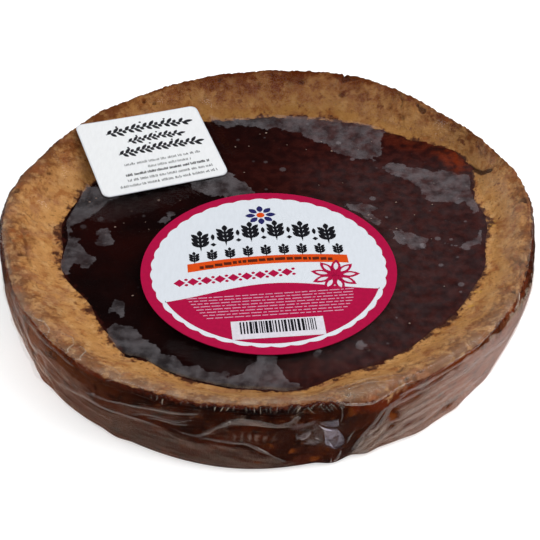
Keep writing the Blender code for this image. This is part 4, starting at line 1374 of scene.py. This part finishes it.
def film_material(name, mirror_least, wall_mirror, fold_tint, lit_tint):
    """Clear glossy film with a milky veil where it is folded or stands off the food, and painted sheen and
    glints.
    """
    material, tree = new_material(name)
    profile = read(tree, "profile")
    bright = read(tree, "bright")
    low = span(tree, profile, 1.15, 1.35, 1.0, 0.0)
    route = add_node(tree, "CombineXYZ", {
        "X": maths(tree, "MULTIPLY", read(tree, "along"), STREAKS_ALONG),
        "Y": maths(tree, "MULTIPLY", read(tree, "drift"), STREAKS_ACROSS),
    }).outputs[0]
    streaks, soft_streaks = [
        add_node(tree, "TexNoise", {
            "Vector": route, "Scale": 1.0, "Detail": detail, "Roughness": 0.6,
        }).outputs["Fac"]
        for detail in (3.0, 0.0)
    ]
    clouds = grain(tree, 0.0050, detail=5.0, roughness=0.62)
    pattern = add_node(tree, "Mix", {0: low, 2: clouds, 3: streaks}, data_type="FLOAT").outputs[0]
    veil = maths(tree, "MULTIPLY", read(tree, "veil"), span(tree, pattern, 0.30, 0.70, 0.40, 1.50))

    edge = shaken(tree, read(tree, "patch"), grain(tree, 0.0040), -1.2, 1.2, 0.2, 0.8)
    edge = shaken(tree, edge, grain(tree, 0.0011), -0.35, 0.35, 0.2, 0.8)
    soft = maths(tree, "MULTIPLY", low, FIELD_FADE)
    start = maths(tree, "SUBTRACT", -0.10, soft)
    field = span(tree, edge, start, maths(tree, "ADD", 0.20, soft))
    field = maths(tree, "MULTIPLY", field, read(tree, "patch_veil"))
    even = maths(tree, "MULTIPLY", bright, 0.60)
    deepest = maths(tree, "SUBTRACT", 1.60, even)
    depth = span(tree, pattern, 0.32, 0.68, maths(tree, "ADD", 0.30, even), deepest)
    lines = maths(tree, "ABSOLUTE", maths(tree, "MULTIPLY_ADD", soft_streaks, 2.0, -1.0))
    lines = maths(tree, "MULTIPLY", span(tree, lines, 0.14, 0.0, 0.0, 0.35), low)
    lines = maths(tree, "MULTIPLY", lines, maths(tree, "SUBTRACT", 1.0, even))
    field = maths(tree, "MULTIPLY", field, maths(tree, "ADD", depth, lines))
    milk = maths(tree, "ADD", veil, field)
    milk = maths(tree, "MULTIPLY_ADD", blisters_in(tree), BLISTER_VEIL, milk)
    milk = maths(tree, "MINIMUM", milk, 0.85)

    normal = bumped(tree, soft_streaks, 0.0004, 0.6)
    clear = add_node(tree, "BsdfTransparent", {"Color": tint(252, 252, 252)})
    gloss_inputs = {"Color": tint(255, 255, 255), "Roughness": 0.09, "Normal": normal}
    gloss = add_node(tree, "BsdfGlossy", gloss_inputs)
    facing = add_node(tree, "LayerWeight", {"Blend": 0.5, "Normal": normal}).outputs["Facing"]
    grazing = maths(tree, "POWER", facing, 5.0)
    mirror = maths(tree, "MULTIPLY_ADD", grazing, MIRROR_GRAZING - mirror_least, mirror_least)
    mirror = maths(tree, "MULTIPLY", mirror, span(tree, profile, 1.25, 1.7, wall_mirror, 1.0))
    sheet = add_node(tree, "MixShader", {0: mirror, 1: clear.outputs[0], 2: gloss.outputs[0]})
    over_jam = span(tree, profile, 2.9, 3.0)
    flat = mixed(tree, over_jam, tint(*HAZE_ON_DOUGH), tint(*HAZE_ON_JAM))
    colour = mixed(tree, low, flat, mixed(tree, bright, fold_tint, lit_tint))
    haze = principled(tree, colour, 0.45, specular=0.12, normal=normal)
    show(tree, add_node(tree, "MixShader", {0: milk, 1: sheet.outputs[0], 2: haze}).outputs[0])
    return material


# Paper of the stickers: rings of points from edge to middle, points round the edge, curl and bow
PAPER_RINGS = 14
ROUND_POINTS = 160
SIDE_POINTS = 26
CORNER_POINTS = 6
ROUND_CURL, RECT_CURL, RECT_BOW = 0.00025, 0.00055, 0.00012
PAPER_LIFT = 0.00003
INK_THICKNESS = 0.00004


def round_curl(x, y):
    """How far the round sticker's paper stands above its plane, in its own axes."""
    share = np.hypot(x, y) / ROUND_RADIUS
    return ROUND_CURL * share ** 4 * (0.6 + 0.4 * np.cos(3.0 * np.arctan2(y, x) + 0.7))


def rect_curl(x, y):
    """How far the white sticker's paper stands above its plane, in its own axes."""
    outer = np.clip(-x / RECT_SIZE[0] + y / RECT_SIZE[1], 0.0, 1.0)
    return RECT_CURL * outer ** 2 + RECT_BOW * (x / RECT_SIZE[0] * 2.0) ** 4


def on_sticker(local, sticker, lift):
    """Places in space of points given in a sticker's own axes, at a lift above its paper's underside."""
    centre, tilt, turn, curl = sticker
    angle = math.radians(turn)
    x = centre[0] + local[..., 0] * math.cos(angle) - local[..., 1] * math.sin(angle)
    y = centre[1] + local[..., 0] * math.sin(angle) + local[..., 1] * math.cos(angle)
    z = sticker_plane(centre, tilt, x, y) + PAPER_LIFT + curl(local[..., 0], local[..., 1]) + lift
    return np.stack([x, y, z], axis=-1)


ROUND_STICKER = (ROUND_CENTRE, ROUND_TILT, ROUND_TURN, round_curl)
RECT_STICKER = (RECT_CENTRE, RECT_TILT, RECT_TURN, rect_curl)


def round_outline():
    """Edge of the round sticker, in its own axes."""
    turn = turn_of(ROUND_POINTS)
    return ROUND_RADIUS * np.stack([np.cos(turn), np.sin(turn)], axis=-1)


def rect_outline():
    """Edge of the white sticker with its round corners, in its own axes."""
    half = np.array(RECT_SIZE) / 2.0 - RECT_CORNER
    corners = half * np.array([(1, 1), (-1, 1), (-1, -1), (1, -1)])
    points = []
    for quarter in range(4):
        for step in range(CORNER_POINTS + 1):
            angle = math.radians(90.0 * (quarter + step / CORNER_POINTS))
            reach = RECT_CORNER * np.array([math.cos(angle), math.sin(angle)])
            points.append(corners[quarter] + reach)
        last = points[-1]
        run = corners[(quarter + 1) % 4] + reach - last
        points += [last + run * step / SIDE_POINTS for step in range(1, SIDE_POINTS)]
    return np.array(points)


def make_paper(name, outline, sticker, node, material):
    """Thin sheet of paper that follows a sticker's plane and curl."""
    shares = np.linspace(0.0, 1.0, PAPER_RINGS + 1)[1:]
    under = [on_sticker(outline * share, sticker, 0.0) for share in shares]
    over = [on_sticker(outline * share, sticker, PAPER_THICKNESS) for share in shares[::-1]]
    middle = np.zeros(2)
    low = on_sticker(middle, sticker, 0.0).tolist()
    high = on_sticker(middle, sticker, PAPER_THICKNESS).tolist()
    paper = turned_mesh(name, np.array(under + over), low, high)
    outmost = np.zeros((2 * PAPER_RINGS, len(outline)))
    outmost[PAPER_RINGS - 1:PAPER_RINGS + 1] = 1.0
    mark(paper, "edge", outmost)
    paper.data.set_sharp_from_angle(angle=math.radians(50))
    paper.data.materials.append(material)
    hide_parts(node)


class Print:
    """Thin plates of one ink on a sticker, gathered into one mesh."""

    def __init__(self, sticker, layer=0):
        """Empty print on a sticker's paper, or on as many layers of ink."""
        self.sticker = sticker
        self.low = PAPER_THICKNESS + (0.25 + 1.5 * layer) * INK_THICKNESS
        self.points = []
        self.faces = []

    def start_plate(self, flat):
        """Add the underside's and then the upper side's points, and say where they start."""
        start = len(self.points)
        for lift in (self.low, self.low + INK_THICKNESS):
            self.points += on_sticker(flat, self.sticker, lift).reshape(-1, 3).tolist()
        return start

    def side(self, first, second, size):
        """Side face over two points of the underside, seen from outside with the first on the left."""
        self.faces.append((first, second, size + second, size + first))

    def prism(self, outline):
        """Flat plate inside a small outline, which runs anticlockwise."""
        count = len(outline)
        start = self.start_plate(np.asarray(outline))
        self.faces.append(tuple(range(start + count - 1, start - 1, -1)))
        self.faces.append(tuple(range(start + count, start + 2 * count)))
        for index in range(count):
            self.side(start + index, start + (index + 1) % count, count)

    def band(self, inner, outer, steps, closed=False):
        """Plate between two curves with as many points each. The outer one lies to the right of the way."""
        shares = np.linspace(0.0, 1.0, steps + 1)[:, None, None]
        grid = outer + (inner - outer) * shares
        rows, columns = grid.shape[:2]
        start = self.start_plate(grid)
        size = rows * columns
        last = start + size - columns
        for column in range(columns if closed else columns - 1):
            beside = (column + 1) % columns
            for row in range(start, last, columns):
                a, b, c, d = row + column, row + beside, row + columns + beside, row + columns + column
                self.faces += [(size + a, size + b, size + c, size + d), (d, c, b, a)]
            self.side(start + column, start + beside, size)
            self.side(last + beside, last + column, size)
        if not closed:
            for row in range(start, last, columns):
                self.side(row + columns, row, size)
                self.side(row + columns - 1, row + 2 * columns - 1, size)

    def leaf(self, place, length, width, angle):
        """Leaf-shaped plate that starts at a place and points along an angle in degrees."""
        along = np.linspace(0.0, 1.0, 7)
        half = 0.5 * width * np.sin(math.pi * along) ** 0.8
        lower = np.stack([along * length, -half], axis=-1)
        upper = np.stack([along * length, half], axis=-1)
        self.prism(turned(np.concatenate([lower, upper[-2:0:-1]]), angle) + np.array(place))

    def bar(self, place, width, height, angle=0.0):
        """Straight bar from its lower left corner."""
        corners = np.array([(0.0, 0.0), (width, 0.0), (width, height), (0.0, height)])
        self.prism(turned(corners, angle) + np.array(place))

    def dot(self, place, radius, sides=16):
        """Round plate, or one with few sides."""
        angle = turn_of(sides)
        self.prism(np.array(place) + radius * np.stack([np.cos(angle), np.sin(angle)], axis=-1))

    def finish(self, name, colour):
        """Link the print as one piece."""
        piece = new_piece(name, self.points, self.faces)
        piece.data.set_sharp_from_angle(angle=math.radians(40))
        piece.data.materials.append(ink_material("ink_" + name, colour))


def turned(points, angle):
    """Points turned about the origin by an angle in degrees."""
    cosine = math.cos(math.radians(angle))
    sine = math.sin(math.radians(angle))
    x = points[..., 0] * cosine - points[..., 1] * sine
    y = points[..., 0] * sine + points[..., 1] * cosine
    return np.stack([x, y], axis=-1)


def ink_material(name, colour):
    """Printed ink with the faint unevenness of screen dots."""
    material, tree = new_material(name)
    dark = tuple(0.90 * part for part in colour[:3]) + (1.0,)
    uneven = mixed(tree, span(tree, grain(tree, 0.0012), 0.3, 0.7), dark, colour)
    show(tree, principled(tree, uneven, 0.32, specular=0.4))
    return material


def paper_material(name, colour, edge):
    """Coated sticker paper with faint fibres and a darker colour given to the cut edge."""
    material, tree = new_material(name)
    fibres = grain(tree, 0.0009, detail=3.0, stretch=(1.0, 4.0, 1.0))
    shade = tuple(0.96 * part for part in colour[:3]) + (1.0,)
    flat = mixed(tree, span(tree, fibres, 0.3, 0.7), shade, colour)
    whole = mixed(tree, span(tree, read(tree, "edge"), 0.6, 0.9), flat, edge)
    show(tree, principled(tree, whole, 0.30, specular=0.4, normal=bumped(tree, fibres, 0.00002)))
    return material


# Print of the round sticker, in its own axes: scalloped ring, lower field, ribbon, flower and bars
RING_INNER, RING_SCALLOP, RING_SCALLOPS, RING_STEPS = 0.0382, 0.0006, 40, 480
FIELD_RADIUS = 0.0369
FIELD_HALF, FIELD_LEVEL, FIELD_WAVE, FIELD_SAG = 0.0344, -0.0095, 0.0016, 0.0030
RIBBON_HALF, RIBBON_HEIGHT, RIBBON_LEVEL, RIBBON_ARCH = 0.0265, 0.0042, 0.0002, 0.0022
DIAMONDS, DIAMOND_PITCH, DIAMOND_START = 9, (0.0044, 0.0003), (-0.0295, -0.0050)
FLOWER_PLACE, FLOWER_PETALS = (0.0212, -0.0058), 9
BLOOM_PLACE, BLOOM_PETALS = (0.0, 0.0292), 8
BAR_PANEL, BAR_LEVEL, BAR_HEIGHT, BARS_HALF = ((-0.0145, -0.0342), 0.0290, 0.0086), -0.0318, 0.0056, 0.0118
FINE_ROWS, FINE_PITCH = 8, 0.00145

# Rows of wheat ears: how many, place of the first, pitch, fall towards both ends, height
EARS_LARGE = (6, (-0.0215, 0.0146), 0.0086, 8.0, 0.0112)
EARS_SMALL = (9, (-0.0240, 0.0060), 0.0060, 3.0, 0.0066)
EAR_GRAINS = 3


def ear(ink, place, height):
    """Bold ear of wheat: a stem, pairs of grains and one grain at the tip."""
    x, y = place
    ink.leaf((x, y), 0.95 * height, 0.09 * height, 90.0)
    for index in range(EAR_GRAINS):
        level = y + height * (0.20 + 0.19 * index)
        ink.leaf((x + 0.03 * height, level), 0.36 * height, 0.16 * height, 50.0)
        ink.leaf((x - 0.03 * height, level), 0.36 * height, 0.16 * height, 130.0)
    ink.leaf((x, y + 0.72 * height), 0.30 * height, 0.17 * height, 90.0)


def small_marks(ink, draw, left, right, level, height, arch=0.0):
    """Row of short plain bars that stands for a line of fine print."""
    place = left
    while place < right - 0.0012:
        width = min(draw.uniform(0.0007, 0.0034), right - place)
        rise = arch * (1.0 - (2.0 * place / (right - left)) ** 2)
        ink.bar((place, level + rise), width, height)
        place += width + 0.0005


def ear_row(ink, row):
    """Arched row of wheat ears."""
    count, (first, level), pitch, fall, height = row
    for index in range(count):
        place = first + pitch * index
        ear(ink, (place, level - fall * place ** 2), height)


def flower(ink, centre, count, start, length, width):
    """Ring of petals round a centre, which start at a distance from it."""
    for index in range(count):
        angle = 360.0 / count * index
        ink.leaf(turned(np.array([start, 0.0]), angle) + np.array(centre), length, width, angle)


def make_round_print():
    """Print of the round sticker: scalloped ring, ears of wheat, ribbon, flower and lower field."""
    draw = np.random.default_rng(41)
    raspberry = Print(ROUND_STICKER)
    turn = turn_of(RING_STEPS)
    direction = np.stack([np.cos(turn), np.sin(turn)], axis=-1)
    scallop = RING_INNER + RING_SCALLOP * np.abs(np.cos(0.5 * RING_SCALLOPS * turn))
    raspberry.band(direction * scallop[:, None], direction * (ROUND_RADIUS + 0.00002), 3, closed=True)
    across = np.linspace(-FIELD_HALF, FIELD_HALF, 90)
    upper = FIELD_LEVEL + FIELD_WAVE * np.cos(across * 95.0) - FIELD_SAG * (across / 0.034) ** 2
    lower = -np.sqrt(FIELD_RADIUS ** 2 - across ** 2)
    raspberry.band(np.stack([across, upper], axis=-1), np.stack([across, lower], axis=-1), 10)
    for index in range(DIAMONDS):
        place = np.array(DIAMOND_START) + index * np.array(DIAMOND_PITCH)
        raspberry.dot(place, 0.0019, 4)
        raspberry.dot(place + (0.0022, 0.0015), 0.0006, 8)
        raspberry.dot(place + (0.0022, -0.0012), 0.0006, 8)
    flower(raspberry, FLOWER_PLACE, FLOWER_PETALS, 0.0, 0.0082, 0.0033)
    raspberry.finish("print_raspberry", tint(190, 16, 72))

    petals = Print(ROUND_STICKER, 1)
    flower(petals, FLOWER_PLACE, FLOWER_PETALS, 0.0026, 0.0040, 0.0015)
    petals.bar(*BAR_PANEL)
    petals.finish("print_white", tint(240, 236, 246))

    pink = Print(ROUND_STICKER, 1)
    for row in range(FINE_ROWS):
        level = -0.0134 - FINE_PITCH * row
        reach = 0.9 * math.sqrt(FIELD_RADIUS ** 2 - (level - 0.001) ** 2) - 0.0030
        small_marks(pink, draw, -reach, reach, level, 0.00034)
    pink.finish("print_pink", tint(232, 176, 202))

    orange = Print(ROUND_STICKER)
    along = np.linspace(-RIBBON_HALF, RIBBON_HALF, 40)
    middle = RIBBON_LEVEL + RIBBON_ARCH * (1.0 - (along / RIBBON_HALF) ** 2)
    orange.band(np.stack([along, middle + RIBBON_HEIGHT], axis=-1), np.stack([along, middle], axis=-1), 3)
    orange.dot(BLOOM_PLACE, 0.0014)
    orange.finish("print_orange", tint(238, 84, 22))

    navy = Print(ROUND_STICKER)
    flower(navy, BLOOM_PLACE, BLOOM_PETALS, 0.0017, 0.0036, 0.0022)
    navy.finish("print_navy", tint(44, 44, 104))

    ink = Print(ROUND_STICKER)
    ear_row(ink, EARS_LARGE)
    count, (first, _level), pitch, fall, _height = EARS_LARGE
    for index in range(count - 1):
        place = first + pitch * (index + 0.5)
        ink.dot((place, 0.0166 - fall * place ** 2), 0.0010, 4)
        ink.leaf((place, 0.0190 - fall * place ** 2), 0.0034, 0.0013, 90.0)
    ear_row(ink, EARS_SMALL)
    ink.finish("print_black", tint(24, 24, 30))

    dark = Print(ROUND_STICKER, 2)
    place = -BARS_HALF
    while place < BARS_HALF:
        width = draw.choice([0.0003, 0.0005, 0.0008])
        dark.bar((place, BAR_LEVEL), width, BAR_HEIGHT)
        place += width + draw.choice([0.0003, 0.0005])
    dark.finish("print_bars", tint(20, 20, 26))

    marks = Print(ROUND_STICKER, 1)
    small_marks(marks, draw, -0.0225, 0.0225, RIBBON_LEVEL + 0.0014, 0.0014, RIBBON_ARCH)
    marks.finish("print_ribbon_marks", tint(96, 36, 20))


# Print of the white sticker: branches by left and right end, level, rise and size, and hatched rows by left
# and right end and width of stroke
BRANCHES = (
    (-0.0135, 0.0160, 0.0114, 0.0010, 0.0036),
    (-0.0070, 0.0120, 0.0060, 0.0006, 0.0030),
    (-0.0120, 0.0170, 0.0004, 0.0008, 0.0034),
)
HATCHED_ROWS = (
    (-0.0120, 0.0170, 0.00020),
    (-0.0040, 0.0120, 0.00020),
    (-0.0130, 0.0185, 0.00034),
    (-0.0130, 0.0190, 0.00022),
    (-0.0165, 0.0195, 0.00022),
)
HATCH_TOP, HATCH_ROW_PITCH = -0.0056, 0.0026
STEM_HALF = 0.00016

HATCH_PITCH, HATCH_HEIGHT = 0.00050, 0.00125


def branch(ink, left, right, level, rise, size):
    """Leafy branch drawn with a pen: an arched stem with leaves on both sides and a few berries."""
    count = int(round((right - left) / (0.62 * size)))
    along = np.linspace(left, right, 4 * count + 1)
    middle = level + rise * np.sin(math.pi * (along - left) / (right - left))
    stem = np.stack([along, middle], axis=-1)
    half = np.array([0.0, STEM_HALF])
    ink.band(stem + half, stem - half, 1)
    for index in range(count):
        length = size * (0.75 + 0.25 * math.sin(2.1 * index))
        place = stem[4 * index + 1]
        ink.leaf(place, length, 0.36 * size, 44.0)
        ink.leaf(stem[4 * index + 3], length, 0.36 * size, -44.0)
        if index % 4 == 2:
            ink.dot(place + (-0.1 * size, 0.72 * size), 0.12 * size, 8)
    ink.leaf((right, level), size, 0.36 * size, 0.0)


def hatched_row(ink, draw, left, right, level, width):
    """Row of short upright strokes of uneven height, in groups with gaps."""
    place = left
    group = 0
    while place < right:
        if group == 0:
            group = int(draw.integers(3, 10))
            place += HATCH_PITCH
        ink.bar((place, level), width, HATCH_HEIGHT * draw.uniform(0.6, 1.0), draw.uniform(-12.0, 12.0))
        place += HATCH_PITCH
        group -= 1


def make_rect_print():
    """Print of the white sticker: three pen flourishes over five rows of fine hatching."""
    draw = np.random.default_rng(17)
    ink = Print(RECT_STICKER)
    for places in BRANCHES:
        branch(ink, *places)
    for row, (left, right, width) in enumerate(HATCHED_ROWS):
        hatched_row(ink, draw, left, right, HATCH_TOP - HATCH_ROW_PITCH * row, width)
    ink.finish("print_pen", tint(30, 30, 36))


# Crumbs and bubbles under the film: how many, smallest and largest radius, how far from the middle and how
# far from the stickers, in metres
CRUMBS = 34
CRUMB_SMALL, CRUMB_LARGE = 0.00018, 0.00042
CRUMB_REACH = 0.066
CRUMB_CLEARANCE = 0.001


def icosahedron():
    """Corners of an icosahedron of unit radius, and its triangles, facing out."""
    golden = 0.5 * (1.0 + math.sqrt(5.0))
    corners = []
    for first in (-1.0, 1.0):
        for second in (-golden, golden):
            corners += [(0.0, first, second), (first, second, 0.0), (second, 0.0, first)]
    corners = np.array(corners) / math.hypot(1.0, golden)
    side = 2.0 / math.hypot(1.0, golden)
    faces = []
    for a, b, c in itertools.combinations(range(len(corners)), 3):
        edges = (corners[a] - corners[b], corners[b] - corners[c], corners[c] - corners[a])
        if all(abs(np.linalg.norm(edge) - side) < 0.01 for edge in edges):
            normal = np.cross(corners[b] - corners[a], corners[c] - corners[a])
            faces.append((a, b, c) if normal @ corners[a] > 0.0 else (a, c, b))
    return corners, faces


def make_crumbs():
    """Small pale crumbs and blisters caught between the film and the jam, partly standing for glints:
    painted highlights.
    """
    draw = np.random.default_rng(29)
    corners, triangles = icosahedron()
    points = []
    faces = []
    while len(points) < CRUMBS * len(corners):
        radius = CRUMB_REACH * math.sqrt(draw.uniform(0.10, 1.0))
        angle = draw.uniform(0.0, 2.0 * math.pi)
        size = CRUMB_SMALL + (CRUMB_LARGE - CRUMB_SMALL) * draw.uniform() ** 2
        x, y = radius * math.cos(angle), radius * math.sin(angle)
        if min(round_reach(x, y), rect_reach(x, y)) <= CRUMB_CLEARANCE:
            continue
        stretch = size * draw.uniform(0.6, 1.2, (len(corners), 1)) * np.array([1.3, 1.0, 0.6])
        start = len(points)
        points += (np.array([x, y, JAM_LEVEL + 0.4 * size]) + corners * stretch).tolist()
        faces += [tuple(start + corner for corner in triangle) for triangle in triangles]
    crumbs = new_piece("crumbs", points, faces)
    material, tree = new_material("crumb")
    shade = mixed(tree, grain(tree, 0.0009), tint(120, 92, 78), tint(172, 148, 134))
    show(tree, principled(tree, shade, 0.5))
    crumbs.data.materials.append(material)


# Studio: light all round, the shaded patch that the jam's film mirrors, its rise and its edge in degrees
WORLD_LIGHT, SHADE_LIGHT = 0.47, 0.03
SHADE_RISE, SHADE_EDGE = 42.0, (30.0, 48.0)
FLOOR_HALF, FLOOR_GLOW = 3.0, 0.50

# Soft boxes: name, place, size and power, each aimed at the middle of the base
SOFT_LIGHTS = (
    ("key", (0.75, -0.05, 0.95), (0.9, 0.9), 7.6),
    ("over", (0.0, -0.1, 1.3), (1.6, 1.6), 4.4),
    ("left", (-0.8, -0.3, 0.5), (0.25, 0.25), 0.5),
    ("front", (-0.10, -0.95, 0.42), (0.40, 0.06), 0.22),
)

def placed(name, data, place, turn=(0.0, 0.0, 0.0)):
    """Link an object for the given data."""
    item = bpy.data.objects.new(name, data)
    item.location = place
    item.rotation_euler = turn
    bpy.context.scene.collection.objects.link(item)
    return item


def make_floor():
    """Pale seamless floor."""
    mesh = bpy.data.meshes.new("floor")
    corners = [(x * FLOOR_HALF, y * FLOOR_HALF, 0.0) for x, y in ((-1, -1), (1, -1), (1, 1), (-1, 1))]
    mesh.from_pydata(corners, [], [(0, 1, 2, 3)])
    material, tree = new_material("pale_floor")
    shader = add_node(tree, "BsdfPrincipled", {
        "Base Color": mixed(tree, grain(tree, 0.05), tint(246, 246, 246), tint(250, 250, 250)),
        "Roughness": 0.9,
        "Specular IOR Level": 0.0,
        "Emission Color": tint(255, 255, 255),
        "Emission Strength": FLOOR_GLOW,
    })
    show(tree, shader.outputs["BSDF"])
    mesh.materials.append(material)
    placed("floor", mesh, (0.0, 0.0, 0.0))


def make_world():
    """Even light from all round, with a shaded patch behind the cake."""
    world = bpy.data.worlds.new("studio")
    world.use_nodes = True
    tree = world.node_tree
    tree.nodes.clear()
    direction = add_node(tree, "TexCoord").outputs["Generated"]
    rise = math.radians(SHADE_RISE)
    ends = {0: direction, 1: (0.0, math.cos(rise), math.sin(rise))}
    toward = add_node(tree, "VectorMath", ends, operation="DOT_PRODUCT").outputs["Value"]
    inner, outer = [math.cos(math.radians(angle)) for angle in SHADE_EDGE]
    strength = span(tree, toward, outer, inner, WORLD_LIGHT, SHADE_LIGHT)
    background = add_node(tree, "Background", {"Color": (1.0, 1.0, 1.0, 1.0), "Strength": strength})
    add_node(tree, "OutputWorld", {"Surface": background.outputs[0]})
    bpy.context.scene.world = world


def make_stage():
    """Floor, soft light from above and all round, and the camera."""
    make_floor()
    make_world()
    bpy.context.scene.view_settings.view_transform = "Standard"
    for name, place, size, power in SOFT_LIGHTS:
        lamp = bpy.data.lights.new(name, "AREA")
        lamp.shape = "RECTANGLE"
        lamp.size, lamp.size_y = size
        lamp.energy = power
        placed(name, lamp, place, (-Vector(place)).to_track_quat("-Z", "Y").to_euler())
    camera = bpy.data.cameras.new("camera")
    camera.lens = CAMERA_LENS
    camera.sensor_width = 36.0
    camera.clip_start = 0.01
    down = (math.radians(90.0 - CAMERA_PITCH), 0.0, 0.0)
    bpy.context.scene.camera = placed("camera", camera, CAMERA_PLACE, down)


make_crust()
make_jam()
make_film()
make_paper("round_sticker", round_outline(), ROUND_STICKER, "label_round",
           paper_material("pale_paper", tint(238, 244, 252), tint(120, 12, 44)))
make_paper("white_sticker", rect_outline(), RECT_STICKER, "label_rect",
           paper_material("white_paper", tint(251, 253, 255), tint(225, 228, 234)))
make_round_print()
make_rect_print()
make_crumbs()
make_stage()
